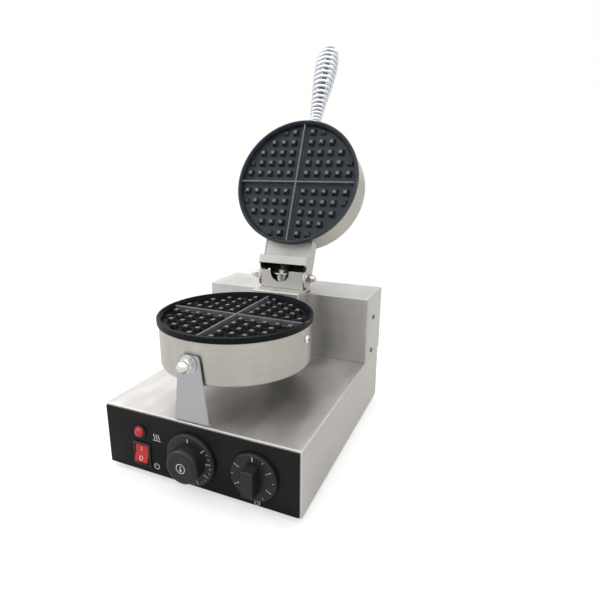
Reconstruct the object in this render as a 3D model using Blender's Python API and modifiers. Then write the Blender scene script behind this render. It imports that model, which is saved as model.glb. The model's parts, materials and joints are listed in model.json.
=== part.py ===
"""Round four-quadrant waffle baker with its lid swung open, on a stainless counter base.

Metres, +Z up. X runs across the front, and the front panel faces -Y. The origin is on the surface that the
feet stand on, under the middle of the object's bounding box.
Sizes inside the functions are measured from the front of the base casing (Y) and its bottom edge (Z).
"""

import math

import bmesh
import bpy
from mathutils import Matrix, Vector

# Base casing, sheet and feet
BASE_WIDTH = 0.250
BASE_DEPTH = 0.307
BASE_HEIGHT = 0.0775
SHEET = 0.0014
GAP = 0.0003
FOOT_HEIGHT = 0.006
FOOT_RADIUS = 0.011
FOOT_INSET = 0.026
FASCIA_THICKNESS = 0.0012

# Cord entry at the back
CORD_X = 0.080
CORD_Z = 0.030
CORD_BORE = 0.005

# Rear housing and hinge pedestal
HOUSING_FRONT = 0.235
HOUSING_BACK = 0.3117
HOUSING_TOP = 0.1712
PEDESTAL_HALF_WIDTH = 0.035
PEDESTAL_FRONT = 0.203
PEDESTAL_BACK = 0.252
PEDESTAL_TOP = 0.1768
BRACKET_HALF_WIDTH = 0.033
BRACKET_FRONT = 0.225
BRACKET_BACK = 0.246
BRACKET_TOP = 0.202
NOTCH_X = -0.0030
NOTCH_RADIUS = 0.0146
NOTCH_DEPTH = 0.0175
LEAD_Y = 0.2370
LEAD_RADIUS = 0.0046
LEAD_FLANGE = 0.0132
LEAD_BODY = 0.0100

# Waffle plates: heights are measured from the plane of the stud tops
PLATE_CENTRE_Y = 0.0942
STUD_PLANE = 0.1761
RIM_RADIUS = 0.0926
RIM_RISE = 0.0026
RIM_BAND = 0.0070
LEDGE_RADIUS = 0.0892
LEDGE_RISE = 0.0008
CAVITY_RADIUS = 0.088
CAVITY_DEPTH = 0.0065
PLATE_THICKNESS = 0.016
STUD_FIRST = 0.0137
STUD_PITCH = 0.0157
STUD_BASE = 0.0092
STUD_TOP = 0.0056
STUD_REACH = 0.084
RIB_BASE = 0.005
RIB_TOP = 0.0028
ELEMENT_RADIUS = 0.056
ELEMENT_START = -78
ELEMENT_END = 258

# Round casings round the plates
CASING_RADIUS = 0.0905
PAN_BOTTOM = 0.1225
LID_DEPTH = 0.053
CLOSED_GAP = 0.0005

# Lid hinge, and the lid's own frame, whose axes are the base's when the lid is closed
HINGE_Y = 0.2317
HINGE_Z = 0.1936
OPEN_ANGLE = math.radians(113)
LID_PLATE_Y = PLATE_CENTRE_Y - HINGE_Y
LID_PLATE_Z = STUD_PLANE + 2 * RIM_RISE + CLOSED_GAP - HINGE_Z
PIVOT_BORE = 0.0033
ARM_INNER = 0.0345
ARM_SHEET = 0.002
ARM_LOW = -0.0127
ARM_HIGH = 0.018
ARM_END_RADIUS = 0.01535

# Coiled grip
HANDLE_START_Y = LID_PLATE_Y - 0.0885
HANDLE_START_Z = LID_PLATE_Z + 0.0335
HANDLE_TILT = math.radians(6.2)
ROD_RADIUS = 0.0036
ROD_LENGTH = 0.150
WIRE_RADIUS = 0.0024
COIL_START = 0.008
COIL_END = 0.150
COIL_ROOT = 0.0063
COIL_BELLY = 0.0153
COIL_TIP = 0.0095
COIL_STEPS = 9
COIL_PEAK = 0.77

# Pan brackets
BRACKET_X = -0.004
BRACKET_STANDOFF = 0.0035
BRACKET_SHEET = 0.0015
BOLT_Z = 0.1475
BOLT_BORE = 0.0043
BOLT_END = 0.0105
PAN_SCREW = (0.0015, -0.0197)
CONDUIT_Y = 0.160

# Controls on the front panel
THERMOSTAT = (-0.0055, 0.0355)
TIMER = (0.0725, 0.0365)
LAMP = (-0.075, 0.052)
ROCKER = (-0.0745, 0.023)
KNOB_BACK = -0.0022
ROCKER_PIVOT_Y = 0.0035
ROCKER_THROW = math.radians(11)

# The bounding box runs from the thermostat knob's face to the tip of the grip
KNOB_FACE = -0.023


def grip_radius(t):
    """Radius of the coil's centre line, with t from 0 at the lid to 1 at the tip."""
    if t < COIL_PEAK:
        x = t / COIL_PEAK
        return COIL_ROOT + (COIL_BELLY - COIL_ROOT) * x * x * (3 - 2 * x)
    x = (t - COIL_PEAK) / (1 - COIL_PEAK)
    return COIL_BELLY + (COIL_TIP - COIL_BELLY) * x**2.5


def grip_pitch(t):
    """Distance between turns: close at the lid and open along the belly."""
    x = min(max((t - 0.08) / 0.37, 0), 1)
    return 0.0052 + 0.0029 * x * x * (3 - 2 * x)


def coil_points(per_turn):
    length = COIL_END - COIL_START
    points, z, turn = [], COIL_START, 0
    while z < COIL_END:
        t = (z - COIL_START) / length
        radius = grip_radius(t)
        points.append((radius * math.cos(turn), radius * math.sin(turn), z))
        turn += 2 * math.pi / per_turn
        z += grip_pitch(t) / per_turn
    return points


def grip_tip_y():
    """Y of the coil's furthest point with the lid open, measured from the front of the casing."""
    start = HANDLE_START_Y * math.cos(OPEN_ANGLE) + HANDLE_START_Z * math.sin(OPEN_ANGLE)
    lean = OPEN_ANGLE - math.pi / 2 + HANDLE_TILT
    reach = max(z * math.sin(lean) + y * math.cos(lean) for x, y, z in coil_points(COIL_STEPS))
    return HINGE_Y + start + reach + WIRE_RADIUS


BASE_FRONT_Y = -(KNOB_FACE + grip_tip_y()) / 2


# ---------------------------------------------------------------- scene, materials and objects


def clear_scene():
    for obj in list(bpy.data.objects):
        bpy.data.objects.remove(obj, do_unlink=True)


def collection(name):
    made = bpy.data.collections.new(name)
    bpy.context.scene.collection.children.link(made)
    return made


def material(name, colour, roughness, metallic):
    made = bpy.data.materials.new(name)
    made.use_nodes = True
    shader = made.node_tree.nodes["Principled BSDF"]
    shader.inputs["Base Color"].default_value = (*colour, 1)
    shader.inputs["Roughness"].default_value = roughness
    shader.inputs["Metallic"].default_value = metallic
    made.diffuse_color = (*colour, 1)
    return made


clear_scene()
PARTS = collection("waffle_baker")
CUTTERS = collection("cutters")

STEEL = ((0.62, 0.61, 0.59), 0.35, 1.0)
GREY_STEEL = ((0.55, 0.57, 0.60), 0.45, 1.0)
CHROME = ((0.80, 0.80, 0.80), 0.10, 1.0)
ZINC = ((0.60, 0.61, 0.62), 0.35, 1.0)
CAST = ((0.02, 0.021, 0.024), 0.42, 0.0)
BLACK = ((0.015, 0.015, 0.016), 0.35, 0.0)
RUBBER = ((0.02, 0.02, 0.02), 0.85, 0.0)
RED = ((0.55, 0.02, 0.02), 0.25, 0.0)
BRASS = ((0.60, 0.46, 0.20), 0.35, 1.0)
BOARD = ((0.78, 0.76, 0.70), 0.90, 0.0)
WHITE = ((0.80, 0.80, 0.76), 0.50, 0.0)


def empty(name, location, parent=None, rotation=(0, 0, 0)):
    made = bpy.data.objects.new(name, None)
    PARTS.objects.link(made)
    made.parent = parent
    made.location = location
    made.rotation_euler = rotation
    return made


BASE = empty("base_frame", (0, BASE_FRONT_Y, FOOT_HEIGHT))
LID = empty("lid_hinge", (0, HINGE_Y, HINGE_Z), BASE, (-OPEN_ANGLE, 0, 0))
LID_PLATE = empty("lid_plate_centre", (0, LID_PLATE_Y, LID_PLATE_Z), LID)
GRIP = empty("grip_axis", (0, HANDLE_START_Y, HANDLE_START_Z), LID, (math.pi / 2 - HANDLE_TILT, 0, 0))


def place(obj, look, parent, location=(0, 0, 0), rotation=(0, 0, 0)):
    """Makes an object one of the parts, or a cutter where look is None."""
    (PARTS if look else CUTTERS).objects.link(obj)
    obj.parent = parent
    obj.location = location
    obj.rotation_euler = rotation
    if look:
        obj.data.materials.append(material(obj.name, *look))
    else:
        obj.hide_render = True
        obj.display_type = "WIRE"
    return obj


def from_bmesh(name, bm):
    mesh = bpy.data.meshes.new(name)
    bmesh.ops.recalc_face_normals(bm, faces=bm.faces)
    bm.to_mesh(mesh)
    bm.free()
    return bpy.data.objects.new(name, mesh)


def smooth(obj, angle=35):
    obj.data.shade_smooth()
    obj.data.set_sharp_from_angle(angle=math.radians(angle))
    return obj


# ---------------------------------------------------------------- shapes


def box_bmesh(low, high):
    low, high = Vector(low), Vector(high)
    size = high - low
    bm = bmesh.new()
    turn = Matrix.Translation((low + high) / 2) @ Matrix.Diagonal((*size, 1))
    bmesh.ops.create_cube(bm, size=1, matrix=turn)
    return bm


def box(name, low, high, look, parent=BASE, bevel=0.0, **at):
    obj = place(from_bmesh(name, box_bmesh(low, high)), look, parent, **at)
    if bevel:
        edge = obj.modifiers.new("rounded edges", "BEVEL")
        edge.width = bevel
        edge.segments = 1
        edge.limit_method = "ANGLE"
    return obj


def cylinder(name, radius, low, high, look, parent=BASE, centre=(0, 0), axis="Z", sides=20):
    """A cylinder along X, Y or Z from low to high; centre gives the two other coordinates in order."""
    bm = bmesh.new()
    turn = {
        "X": Matrix.Rotation(math.pi / 2, 4, "Y"),
        "Y": Matrix.Rotation(-math.pi / 2, 4, "X"),
        "Z": Matrix.Identity(4),
    }[axis]
    spot = {
        "X": (0, *centre),
        "Y": (centre[0], 0, centre[1]),
        "Z": (*centre, 0),
    }[axis]
    along = Matrix.Translation((0, 0, (low + high) / 2))
    bmesh.ops.create_cone(
        bm,
        cap_ends=True,
        segments=sides,
        radius1=radius,
        radius2=radius,
        depth=high - low,
        matrix=Matrix.Translation(spot) @ turn @ along,
    )
    return smooth(place(from_bmesh(name, bm), look, parent))


def turned(name, profile, look, parent=BASE, location=(0, 0, 0), rotation=(0, 0, 0), sides=32):
    """Turns a profile of (radius, height) points, listed from the top down its outer side, about local Z."""
    bm = bmesh.new()
    points = [bm.verts.new((radius, 0, height)) for radius, height in profile]
    closed = profile[0][0] > 0
    ends = points[1:] + points[:1] if closed else points[1:]
    for first, second in zip(points, ends):
        bm.edges.new((first, second))
    mesh = bpy.data.meshes.new(name)
    bm.to_mesh(mesh)
    bm.free()
    obj = place(bpy.data.objects.new(name, mesh), look, parent, location, rotation)
    screw = obj.modifiers.new("turn", "SCREW")
    screw.steps = sides
    screw.render_steps = sides
    screw.use_merge_vertices = True
    screw.merge_threshold = 0.00001
    return obj


def ring(outer, inner, top, bottom):
    """Profile of a plain ring for turned()."""
    return [(outer, top), (outer, bottom), (inner, bottom), (inner, top)]


def flat(name, outline, thickness, look, parent=BASE, location=(0, 0, 0), rotation=(0, 0, 0)):
    """Extrudes a closed outline of (x, y) points by thickness about local z = 0."""
    curve = bpy.data.curves.new(name, "CURVE")
    curve.dimensions = "2D"
    curve.fill_mode = "BOTH"
    curve.extrude = thickness / 2
    spline = curve.splines.new("POLY")
    spline.points.add(len(outline) - 1)
    for point, (x, y) in zip(spline.points, outline):
        point.co = (x, y, 0, 1)
    spline.use_cyclic_u = True
    source = bpy.data.objects.new(name, curve)
    bpy.context.scene.collection.objects.link(source)
    return place(mesh_copy(source), look, parent, location, rotation)


def tube(name, points, radius, look, parent=BASE, resolution=1):
    """A round wire through the points."""
    curve = bpy.data.curves.new(name, "CURVE")
    curve.dimensions = "3D"
    curve.bevel_depth = radius
    curve.bevel_resolution = resolution
    curve.use_fill_caps = True
    spline = curve.splines.new("POLY")
    spline.points.add(len(points) - 1)
    for point, place_at in zip(spline.points, points):
        point.co = (*place_at, 1)
    source = bpy.data.objects.new(name, curve)
    bpy.context.scene.collection.objects.link(source)
    return smooth(place(mesh_copy(source), look, parent), 60)


def mesh_copy(source):
    """The mesh that a curve makes, with its caps welded on. The curve itself is removed."""
    name = source.name
    graph = bpy.context.evaluated_depsgraph_get()
    mesh = bpy.data.meshes.new_from_object(source.evaluated_get(graph))
    curve = source.data
    bpy.data.objects.remove(source)
    bpy.data.curves.remove(curve)
    bm = bmesh.new()
    bm.from_mesh(mesh)
    bmesh.ops.remove_doubles(bm, verts=bm.verts, dist=0.000005)
    bmesh.ops.recalc_face_normals(bm, faces=bm.faces)
    bm.to_mesh(mesh)
    bm.free()
    mesh.name = name
    return bpy.data.objects.new(name, mesh)


def combine(target, other, operation="DIFFERENCE"):
    modifier = target.modifiers.new(other.name, "BOOLEAN")
    modifier.operation = operation
    modifier.object = other
    return target


def cut(target, *cutters):
    for cutter in cutters:
        combine(target, cutter)
    return target


def join(target, *others):
    for other in others:
        combine(target, other, "UNION")
    return target


def cut_box(name, low, high, parent=BASE):
    return box(name, low, high, None, parent)


def cut_cylinder(name, radius, low, high, parent=BASE, **options):
    return cylinder(name, radius, low, high, None, parent, **options)


def arc(centre, radius, start, end, steps):
    """Points on an arc, with angles in degrees."""
    angles = [math.radians(start + (end - start) * i / steps) for i in range(steps + 1)]
    return [(centre[0] + radius * math.cos(a), centre[1] + radius * math.sin(a)) for a in angles]


# ---------------------------------------------------------------- base


def front_holes(prefix, low, high):
    """Cutters for the controls, from low to high along Y."""
    x, z = ROCKER
    return [
        cut_box(prefix + "_rocker_hole", (x - 0.0107, low, z - 0.0134), (x + 0.0107, high, z + 0.0134)),
        cut_cylinder(prefix + "_lamp_hole", 0.0063, low, high, centre=LAMP, axis="Y"),
        cut_cylinder(prefix + "_thermostat_hole", 0.0053, low, high, centre=THERMOSTAT, axis="Y"),
        cut_cylinder(prefix + "_timer_hole", 0.0053, low, high, centre=TIMER, axis="Y"),
    ]


def base_shell():
    half = BASE_WIDTH / 2
    shell = box("base_shell", (-half, 0, 0), (half, BASE_DEPTH, BASE_HEIGHT), STEEL, bevel=0.001)
    inside = cut_box(
        "base_inside",
        (SHEET - half, SHEET, -0.01),
        (half - SHEET, BASE_DEPTH - SHEET, BASE_HEIGHT - SHEET),
    )
    wiring = cut_box("wiring_hole", (-0.045, 0.25, 0.06), (0.045, 0.295, 0.09))
    conduit = cut_cylinder("conduit_hole", 0.0083, 0.06, 0.09, centre=(0, CONDUIT_Y))
    gland = cut_cylinder("gland_hole", 0.0083, 0.29, 0.32, centre=(CORD_X, CORD_Z), axis="Y")
    cut(shell, inside, wiring, conduit, gland, *front_holes("shell", -0.01, 0.01))


def fascia_panel():
    low = (-0.124, -GAP - FASCIA_THICKNESS, 0.0005)
    high = (0.1225, -GAP, 0.075)
    panel = box("fascia_panel", low, high, BLACK)
    cut(panel, *front_holes("fascia", -0.01, 0.005))


def bottom_plate_and_feet():
    inset = SHEET + GAP
    half = BASE_WIDTH / 2 - inset
    plate = box(
        "base_bottom_plate",
        (-half, inset, 0.0002),
        (half, BASE_DEPTH - inset, 0.0002 + SHEET),
        STEEL,
    )
    for row, y in enumerate((0.12, 0.19)):
        for i in range(5):
            x = 0.022 * (i - 2)
            slot = cut_box(f"vent_{row}_{i}", (x - 0.003, y - 0.02, -0.01), (x + 0.003, y + 0.02, 0.01))
            cut(plate, slot)
    x_foot = BASE_WIDTH / 2 - FOOT_INSET
    rear = BASE_DEPTH - FOOT_INSET
    spots = {
        "foot_front_left": (-x_foot, FOOT_INSET),
        "foot_front_right": (x_foot, FOOT_INSET),
        "foot_rear_left": (-x_foot, rear),
        "foot_rear_right": (x_foot, rear),
    }
    profile = [
        (0, 0.004),
        (0.0038, 0.004),
        (0.0038, -0.0001),
        (FOOT_RADIUS, -0.0001),
        (FOOT_RADIUS - 0.002, -FOOT_HEIGHT),
        (0, -FOOT_HEIGHT),
    ]
    for name, (x, y) in spots.items():
        cut(plate, cut_cylinder(name + "_hole", 0.0042, -0.01, 0.01, centre=(x, y)))
        smooth(turned(name, profile, RUBBER, location=(x, y, 0), sides=18))


def rear_housing():
    half = BASE_WIDTH / 2
    bottom = BASE_HEIGHT + GAP
    housing = box(
        "rear_housing",
        (-half, HOUSING_FRONT, bottom),
        (half, HOUSING_BACK, HOUSING_TOP),
        STEEL,
        bevel=0.001,
    )
    inside = cut_box(
        "housing_inside",
        (SHEET - half, HOUSING_FRONT + SHEET, 0.05),
        (half - SHEET, HOUSING_BACK + 0.01, HOUSING_TOP - SHEET),
    )
    passage = cut_box("housing_passage", (-0.02, 0.23, 0.085), (0.02, 0.24, 0.12))
    x = NOTCH_X
    lead_way = cut_box("housing_lead_way", (x - 0.004, 0.238, 0.16), (x + 0.004, 0.245, 0.18))
    cut(housing, inside, passage, lead_way)
    inner = half - SHEET - GAP
    cover = box(
        "rear_cover",
        (-inner, HOUSING_BACK - 0.003, bottom + 0.001),
        (inner, HOUSING_BACK - 0.003 + SHEET, HOUSING_TOP - SHEET - GAP),
        STEEL,
    )
    for i in range(9):
        x = 0.018 * (i - 4)
        slot = cut_box(f"louvre_{i}", (x - 0.003, 0.30, 0.120), (x + 0.003, 0.32, 0.150))
        cut(cover, slot)


def rear_fittings():
    gland = turned(
        "cable_gland",
        [
            (0.0085, 0.012),
            (0.0105, 0.002),
            (0.0105, GAP),
            (0.0078, GAP),
            (0.0078, -0.012),
            (CORD_BORE, -0.012),
            (CORD_BORE, 0.012),
        ],
        BLACK,
        location=(CORD_X, BASE_DEPTH, CORD_Z),
        rotation=(-math.pi / 2, 0, 0),
        sides=18,
    )
    smooth(gland)
    block = box("terminal_block", (0.035, 0.215, 0.004), (0.095, 0.235, 0.022), WHITE)
    for i in range(4):
        x = 0.0425 + 0.015 * i
        cut(block, cut_cylinder(f"terminal_{i}", 0.0028, 0.012, 0.03, centre=(x, 0.225), sides=16))


# ---------------------------------------------------------------- hinge on the base side


def hinge_pedestal():
    w = PEDESTAL_HALF_WIDTH
    column = box(
        "hinge_pedestal",
        (-w, PEDESTAL_FRONT, BASE_HEIGHT + GAP),
        (w, HOUSING_FRONT - GAP, PEDESTAL_TOP),
        STEEL,
    )
    saddle = box("saddle", (-w, 0.22, HOUSING_TOP + GAP), (w, PEDESTAL_BACK, PEDESTAL_TOP), None)
    inside = cut_box(
        "pedestal_inside",
        (SHEET - w, PEDESTAL_FRONT + SHEET, 0.05),
        (w - SHEET, 0.24, PEDESTAL_TOP - 0.0018),
    )
    under = cut_box("saddle_inside", (SHEET - w, 0.23, 0.16), (w - SHEET, 0.26, PEDESTAL_TOP - 0.0018))
    bore = cut_cylinder("lead_hole", 0.0050, 0.16, 0.19, centre=(NOTCH_X, LEAD_Y))
    join(column, saddle)
    cut(column, inside, under, bore)


def hinge_bracket():
    w = BRACKET_HALF_WIDTH
    sheet = 0.0015
    low = PEDESTAL_TOP + GAP
    bracket = box("hinge_bracket", (-w, BRACKET_FRONT, low), (w, BRACKET_BACK, BRACKET_TOP), GREY_STEEL)
    inside = cut_box(
        "bracket_inside",
        (sheet - w, BRACKET_FRONT + sheet, low + sheet),
        (w - sheet, BRACKET_BACK + 0.01, BRACKET_TOP + 0.01),
    )
    notch = cut_box(
        "notch",
        (NOTCH_X - NOTCH_RADIUS, BRACKET_FRONT - 0.01, BRACKET_TOP - NOTCH_DEPTH + NOTCH_RADIUS),
        (NOTCH_X + NOTCH_RADIUS, BRACKET_FRONT + 0.005, BRACKET_TOP + 0.01),
    )
    bottom = cut_cylinder(
        "notch_bottom",
        NOTCH_RADIUS,
        BRACKET_FRONT - 0.01,
        BRACKET_FRONT + 0.005,
        centre=(NOTCH_X, BRACKET_TOP - NOTCH_DEPTH + NOTCH_RADIUS),
        axis="Y",
        sides=32,
    )
    pivot = cut_cylinder("pivot_hole", PIVOT_BORE, -0.05, 0.05, centre=(HINGE_Y, HINGE_Z), axis="X", sides=16)
    bore = cut_cylinder("bracket_lead_hole", 0.0050, 0.17, 0.19, centre=(NOTCH_X, LEAD_Y))
    cut(bracket, inside, notch, bottom, pivot, bore)


def lead_bushing():
    """The flanged tube that carries the lid's leads up through the pedestal, behind the notch."""
    smooth(
        turned(
            "lead_bushing",
            [
                (LEAD_RADIUS, 0.0255),
                (LEAD_RADIUS, 0.0215),
                (LEAD_FLANGE, 0.0215),
                (LEAD_FLANGE, 0.0195),
                (LEAD_BODY, 0.0195),
                (LEAD_BODY, 0.0025),
                (LEAD_RADIUS, 0.0025),
                (LEAD_RADIUS, -0.0035),
                (0.0032, -0.0035),
                (0.0032, 0.0255),
            ],
            ZINC,
            location=(NOTCH_X, LEAD_Y, PEDESTAL_TOP),
            sides=18,
        )
    )


def pivots():
    """Each side: bolt from inside the bracket, spacer, arm flange, washer and acorn nut."""
    ear = BRACKET_HALF_WIDTH
    head = ear - 0.0018
    arm_outer = ARM_INNER + ARM_SHEET
    nut_base = arm_outer + GAP + 0.0012 + GAP
    for side, sign in (("left", -1), ("right", 1)):
        at = {"location": (0, HINGE_Y, HINGE_Z), "rotation": (0, sign * math.pi / 2, 0)}
        smooth(
            turned(
                f"pivot_bolt_{side}",
                [(0, 0.0465), (0.003, 0.0465), (0.003, head), (0.0048, head), (0.0048, 0.0272), (0, 0.0272)],
                ZINC,
                sides=16,
                **at,
            )
        )
        smooth(
            turned(
                f"pivot_spacer_{side}",
                ring(0.008, PIVOT_BORE, ARM_INNER - GAP, ear + GAP),
                WHITE,
                sides=18,
                **at,
            )
        )
        smooth(
            turned(
                f"pivot_washer_{side}",
                ring(0.0068, PIVOT_BORE, nut_base - GAP, arm_outer + GAP),
                ZINC,
                sides=18,
                **at,
            )
        )
        acorn_nut(f"pivot_nut_{side}", 0.0062, 0.0050, 0.0050, 0.0052, nut_base, PIVOT_BORE, at)


def acorn_nut(name, hexagon, height, dome, bore_end, start, bore, at):
    """A hexagon from start with a dome on it, along local Z, and a blind bore for the bolt."""
    skirt = height + dome * 0.35
    curve = [
        (dome * math.cos(math.radians(a)), start + skirt + dome * math.sin(math.radians(a)))
        for a in (90, 70, 50, 30, 10, 0)
    ]
    curve[0] = (0, curve[0][1])
    body = turned(name, [*curve, (dome, start + 0.001), (0, start + 0.001)], CHROME, sides=16, **at)
    base = cylinder(name + "_hex", hexagon, start, start + height, None, sides=6)
    base.location = at["location"]
    base.rotation_euler = at["rotation"]
    hole = cut_cylinder(name + "_bore", bore, start - 0.01, start + height + bore_end, sides=16)
    hole.location = at["location"]
    hole.rotation_euler = at["rotation"]
    join(body, base)
    cut(body, hole)
    smooth(body)


# ---------------------------------------------------------------- waffle plates


def grid_spots():
    """Centres of the studs in one quadrant."""
    spots = []
    for i in range(6):
        for j in range(6):
            x, y = STUD_FIRST + i * STUD_PITCH, STUD_FIRST + j * STUD_PITCH
            if math.hypot(x, y) < STUD_REACH:
                spots.append((x, y))
    return spots


def frustum(bm, x, y, base, top, low):
    """A square block with drafted sides, from low up to the stud plane."""
    turn = Matrix.Translation((x, y, low / 2)) @ Matrix.Rotation(math.pi / 4, 4, "Z")
    bmesh.ops.create_cone(
        bm,
        cap_ends=True,
        segments=4,
        radius1=base / math.sqrt(2),
        radius2=top / math.sqrt(2),
        depth=-low,
        matrix=turn,
    )


def rib(name, parent, along_x):
    """One arm pair of the cross, with drafted sides."""
    floor = -CAVITY_DEPTH - 0.001
    length = CAVITY_RADIUS - 0.0002
    section = [(-RIB_BASE / 2, floor), (RIB_BASE / 2, floor), (RIB_TOP / 2, 0), (-RIB_TOP / 2, 0)]
    turn = (math.pi / 2, 0, math.pi / 2 if along_x else 0)
    return flat(name, section, 2 * length, None, parent, rotation=turn)


def waffle_plate(name, parent, rotation=(0, 0, 0), location=(0, 0, 0)):
    """A cast plate facing local +Z: stepped rim, round cavity, cross and square studs."""
    rim = [
        (0, -CAVITY_DEPTH),
        (CAVITY_RADIUS - 0.002, -CAVITY_DEPTH),
        (CAVITY_RADIUS, LEDGE_RISE),
        (LEDGE_RADIUS, LEDGE_RISE),
        (LEDGE_RADIUS + 0.0002, RIM_RISE),
        (RIM_RADIUS, RIM_RISE),
        (RIM_RADIUS, RIM_RISE - RIM_BAND),
        (CASING_RADIUS - 0.0025, RIM_RISE - RIM_BAND),
        (CASING_RADIUS - 0.0025, -PLATE_THICKNESS),
        (0, -PLATE_THICKNESS),
    ]
    plate = turned(name, rim, CAST, parent, location, rotation, sides=48)
    holder = empty(name + "_pattern", location, parent, rotation)
    ribs = [rib(f"{name}_rib_{i}", holder, i == 0) for i in range(2)]
    bm = bmesh.new()
    for x, y in grid_spots():
        for sx in (-1, 1):
            for sy in (-1, 1):
                frustum(bm, sx * x, sy * y, STUD_BASE, STUD_TOP, -CAVITY_DEPTH - 0.0008)
    studs = place(from_bmesh(name + "_studs", bm), None, holder)
    join(plate, *ribs, studs)
    return smooth(plate, 25)


def element(name, parent, height, tail):
    """A tubular heater: an open loop whose two ends turn away from the plate."""
    loop = [(x, y, height) for x, y in arc((0, 0), ELEMENT_RADIUS, ELEMENT_START, ELEMENT_END, 24)]
    first, last = Vector(loop[0]), Vector(loop[-1])
    drop = Vector((0, 0, tail))
    points = [first + drop, first + drop * 0.35, *loop, last + drop * 0.35, last + drop]
    return tube(name, points, 0.0035, ZINC, parent)


def insulation(name, parent, direction):
    """Insulating board behind a plate's element; direction is -1 downwards and +1 upwards."""
    low, high = sorted((direction * 0.0265, direction * 0.0345))
    board = cylinder(name, 0.080, low, high, BOARD, parent, sides=32)
    for i, spot in enumerate(arc((0, 0), ELEMENT_RADIUS, ELEMENT_START, ELEMENT_END, 1)):
        hole = cut_cylinder(f"{name}_hole_{i}", 0.0050, low - 0.01, high + 0.01, parent, centre=spot, sides=12)
        cut(board, hole)


# ---------------------------------------------------------------- pan


def pan():
    centre = empty("pan_centre", (0, PLATE_CENTRE_Y, STUD_PLANE), BASE)
    top = RIM_RISE - RIM_BAND - GAP
    low = PAN_BOTTOM - STUD_PLANE
    r = CASING_RADIUS
    casing = turned(
        "pan_casing",
        [
            (r, top),
            (r, low + 0.002),
            (r - 0.002, low),
            (0, low),
            (0, low + SHEET),
            (r - 0.0025, low + SHEET),
            (r - SHEET, low + 0.0025),
            (r - SHEET, top),
        ],
        STEEL,
        centre,
        sides=48,
    )
    bolt_z = BOLT_Z - STUD_PLANE
    for name, low_y, high_y in (("front", -0.1, -0.07), ("rear", 0.07, 0.1)):
        spot = (BRACKET_X, bolt_z)
        reach = (low_y, high_y)
        hole = cut_cylinder(f"pan_{name}_hole", BOLT_BORE, *reach, centre, centre=spot, axis="Y", sides=16)
        cut(casing, hole)
    for side, sign in (("left", -1), ("right", 1)):
        reach = sorted((sign * 0.08, sign * 0.1))
        hole = cut_cylinder(f"pan_{side}_hole", 0.0023, *reach, centre, centre=PAN_SCREW, axis="X", sides=16)
        cut(casing, hole)
        screw = turned(
            f"pan_screw_{side}",
            [
                (0, 0.0030),
                (0.0030, 0.0026),
                (0.0050, 0.0012),
                (0.0050, GAP),
                (0.0020, GAP),
                (0.0020, -0.0020),
                (0, -0.0020),
            ],
            ZINC,
            centre,
            location=(sign * r, *PAN_SCREW),
            rotation=(0, sign * math.pi / 2, 0),
            sides=16,
        )
        smooth(screw)
    smooth(casing)
    waffle_plate("lower_plate", centre)
    element("lower_element", centre, -PLATE_THICKNESS - 0.0038, -0.030)
    insulation("lower_insulation", centre, -1)
    under = (0, -PLATE_THICKNESS - 0.0034)
    smooth(cylinder("thermostat_bulb", 0.003, -0.040, 0.040, BRASS, centre, centre=under, axis="X", sides=16))
    conduit = turned(
        "pan_conduit",
        ring(0.0080, 0.0065, low + 0.006, -0.110),
        ZINC,
        centre,
        location=(0, CONDUIT_Y - PLATE_CENTRE_Y, 0),
        sides=18,
    )
    smooth(conduit)
    spot = (0, CONDUIT_Y - PLATE_CENTRE_Y)
    cut(casing, cut_cylinder("pan_conduit_hole", 0.0083, low - 0.01, low + 0.01, centre, centre=spot))


def pan_bracket(name, face_y, direction):
    """A folded sheet bracket with its foot under the pan; direction is +1 where the foot points to +Y."""
    sheet = BRACKET_SHEET
    foot_z = BASE_HEIGHT + GAP
    top = 0.157
    outline = [
        (-0.0215, foot_z),
        (0.0215, foot_z),
        *arc((0.0085, top - 0.004), 0.004, 10, 90, 4),
        *arc((-0.0085, top - 0.004), 0.004, 90, 170, 4),
    ]
    back_y = face_y + direction * sheet
    plate = flat(
        name,
        outline,
        sheet,
        GREY_STEEL,
        location=(BRACKET_X, (face_y + back_y) / 2, 0),
        rotation=(math.pi / 2, 0, 0),
    )
    near, far = sorted((face_y + direction * 0.0005, face_y + direction * 0.013))
    x = BRACKET_X
    foot = box(name + "_foot", (x - 0.0215, near, foot_z), (x + 0.0215, far, foot_z + sheet), None)
    join(plate, foot)
    spot = (x, BOLT_Z)
    reach = (face_y - 0.02, face_y + 0.02)
    hole = cut_cylinder(name + "_hole", BOLT_BORE, *reach, centre=spot, axis="Y", sides=16)
    return cut(plate, hole)


def pan_support(name, pan_y, direction):
    """Bracket, bolt, spacer, washer and acorn nut; direction is -1 at the front and +1 at the rear."""
    sheet = BRACKET_SHEET
    outer = pan_y + direction * BRACKET_STANDOFF
    turn = (math.pi / 2 if direction < 0 else -math.pi / 2, 0, 0)
    at = {"location": (BRACKET_X, outer, BOLT_Z), "rotation": turn}
    pan_bracket(name + "_bracket", outer, -direction)
    depth = BRACKET_STANDOFF
    head = -depth - SHEET - 0.0015
    if direction < 0:
        spacer_and_washer(name, sheet, depth, at)
    smooth(
        turned(
            name + "_bolt",
            [
                (0, BOLT_END),
                (0.0040, BOLT_END),
                (0.0040, head),
                (0.0068, head),
                (0.0068, head - 0.004),
                (0, head - 0.004),
            ],
            ZINC,
            sides=16,
            **at,
        )
    )
    start = 0.0021 if direction < 0 else GAP
    bore_end = BOLT_END - start - 0.0060 + GAP
    acorn_nut(name + "_nut", 0.0078, 0.0060, 0.0062, bore_end, start, BOLT_BORE, at)


def spacer_and_washer(name, sheet, depth, at):
    smooth(
        turned(
            name + "_spacer",
            ring(0.0075, BOLT_BORE, -sheet - GAP, -depth + GAP),
            ZINC,
            sides=18,
            **at,
        )
    )
    smooth(
        turned(
            name + "_washer",
            ring(0.0100, BOLT_BORE, 0.0018, GAP),
            ZINC,
            sides=32,
            **at,
        )
    )


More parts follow.
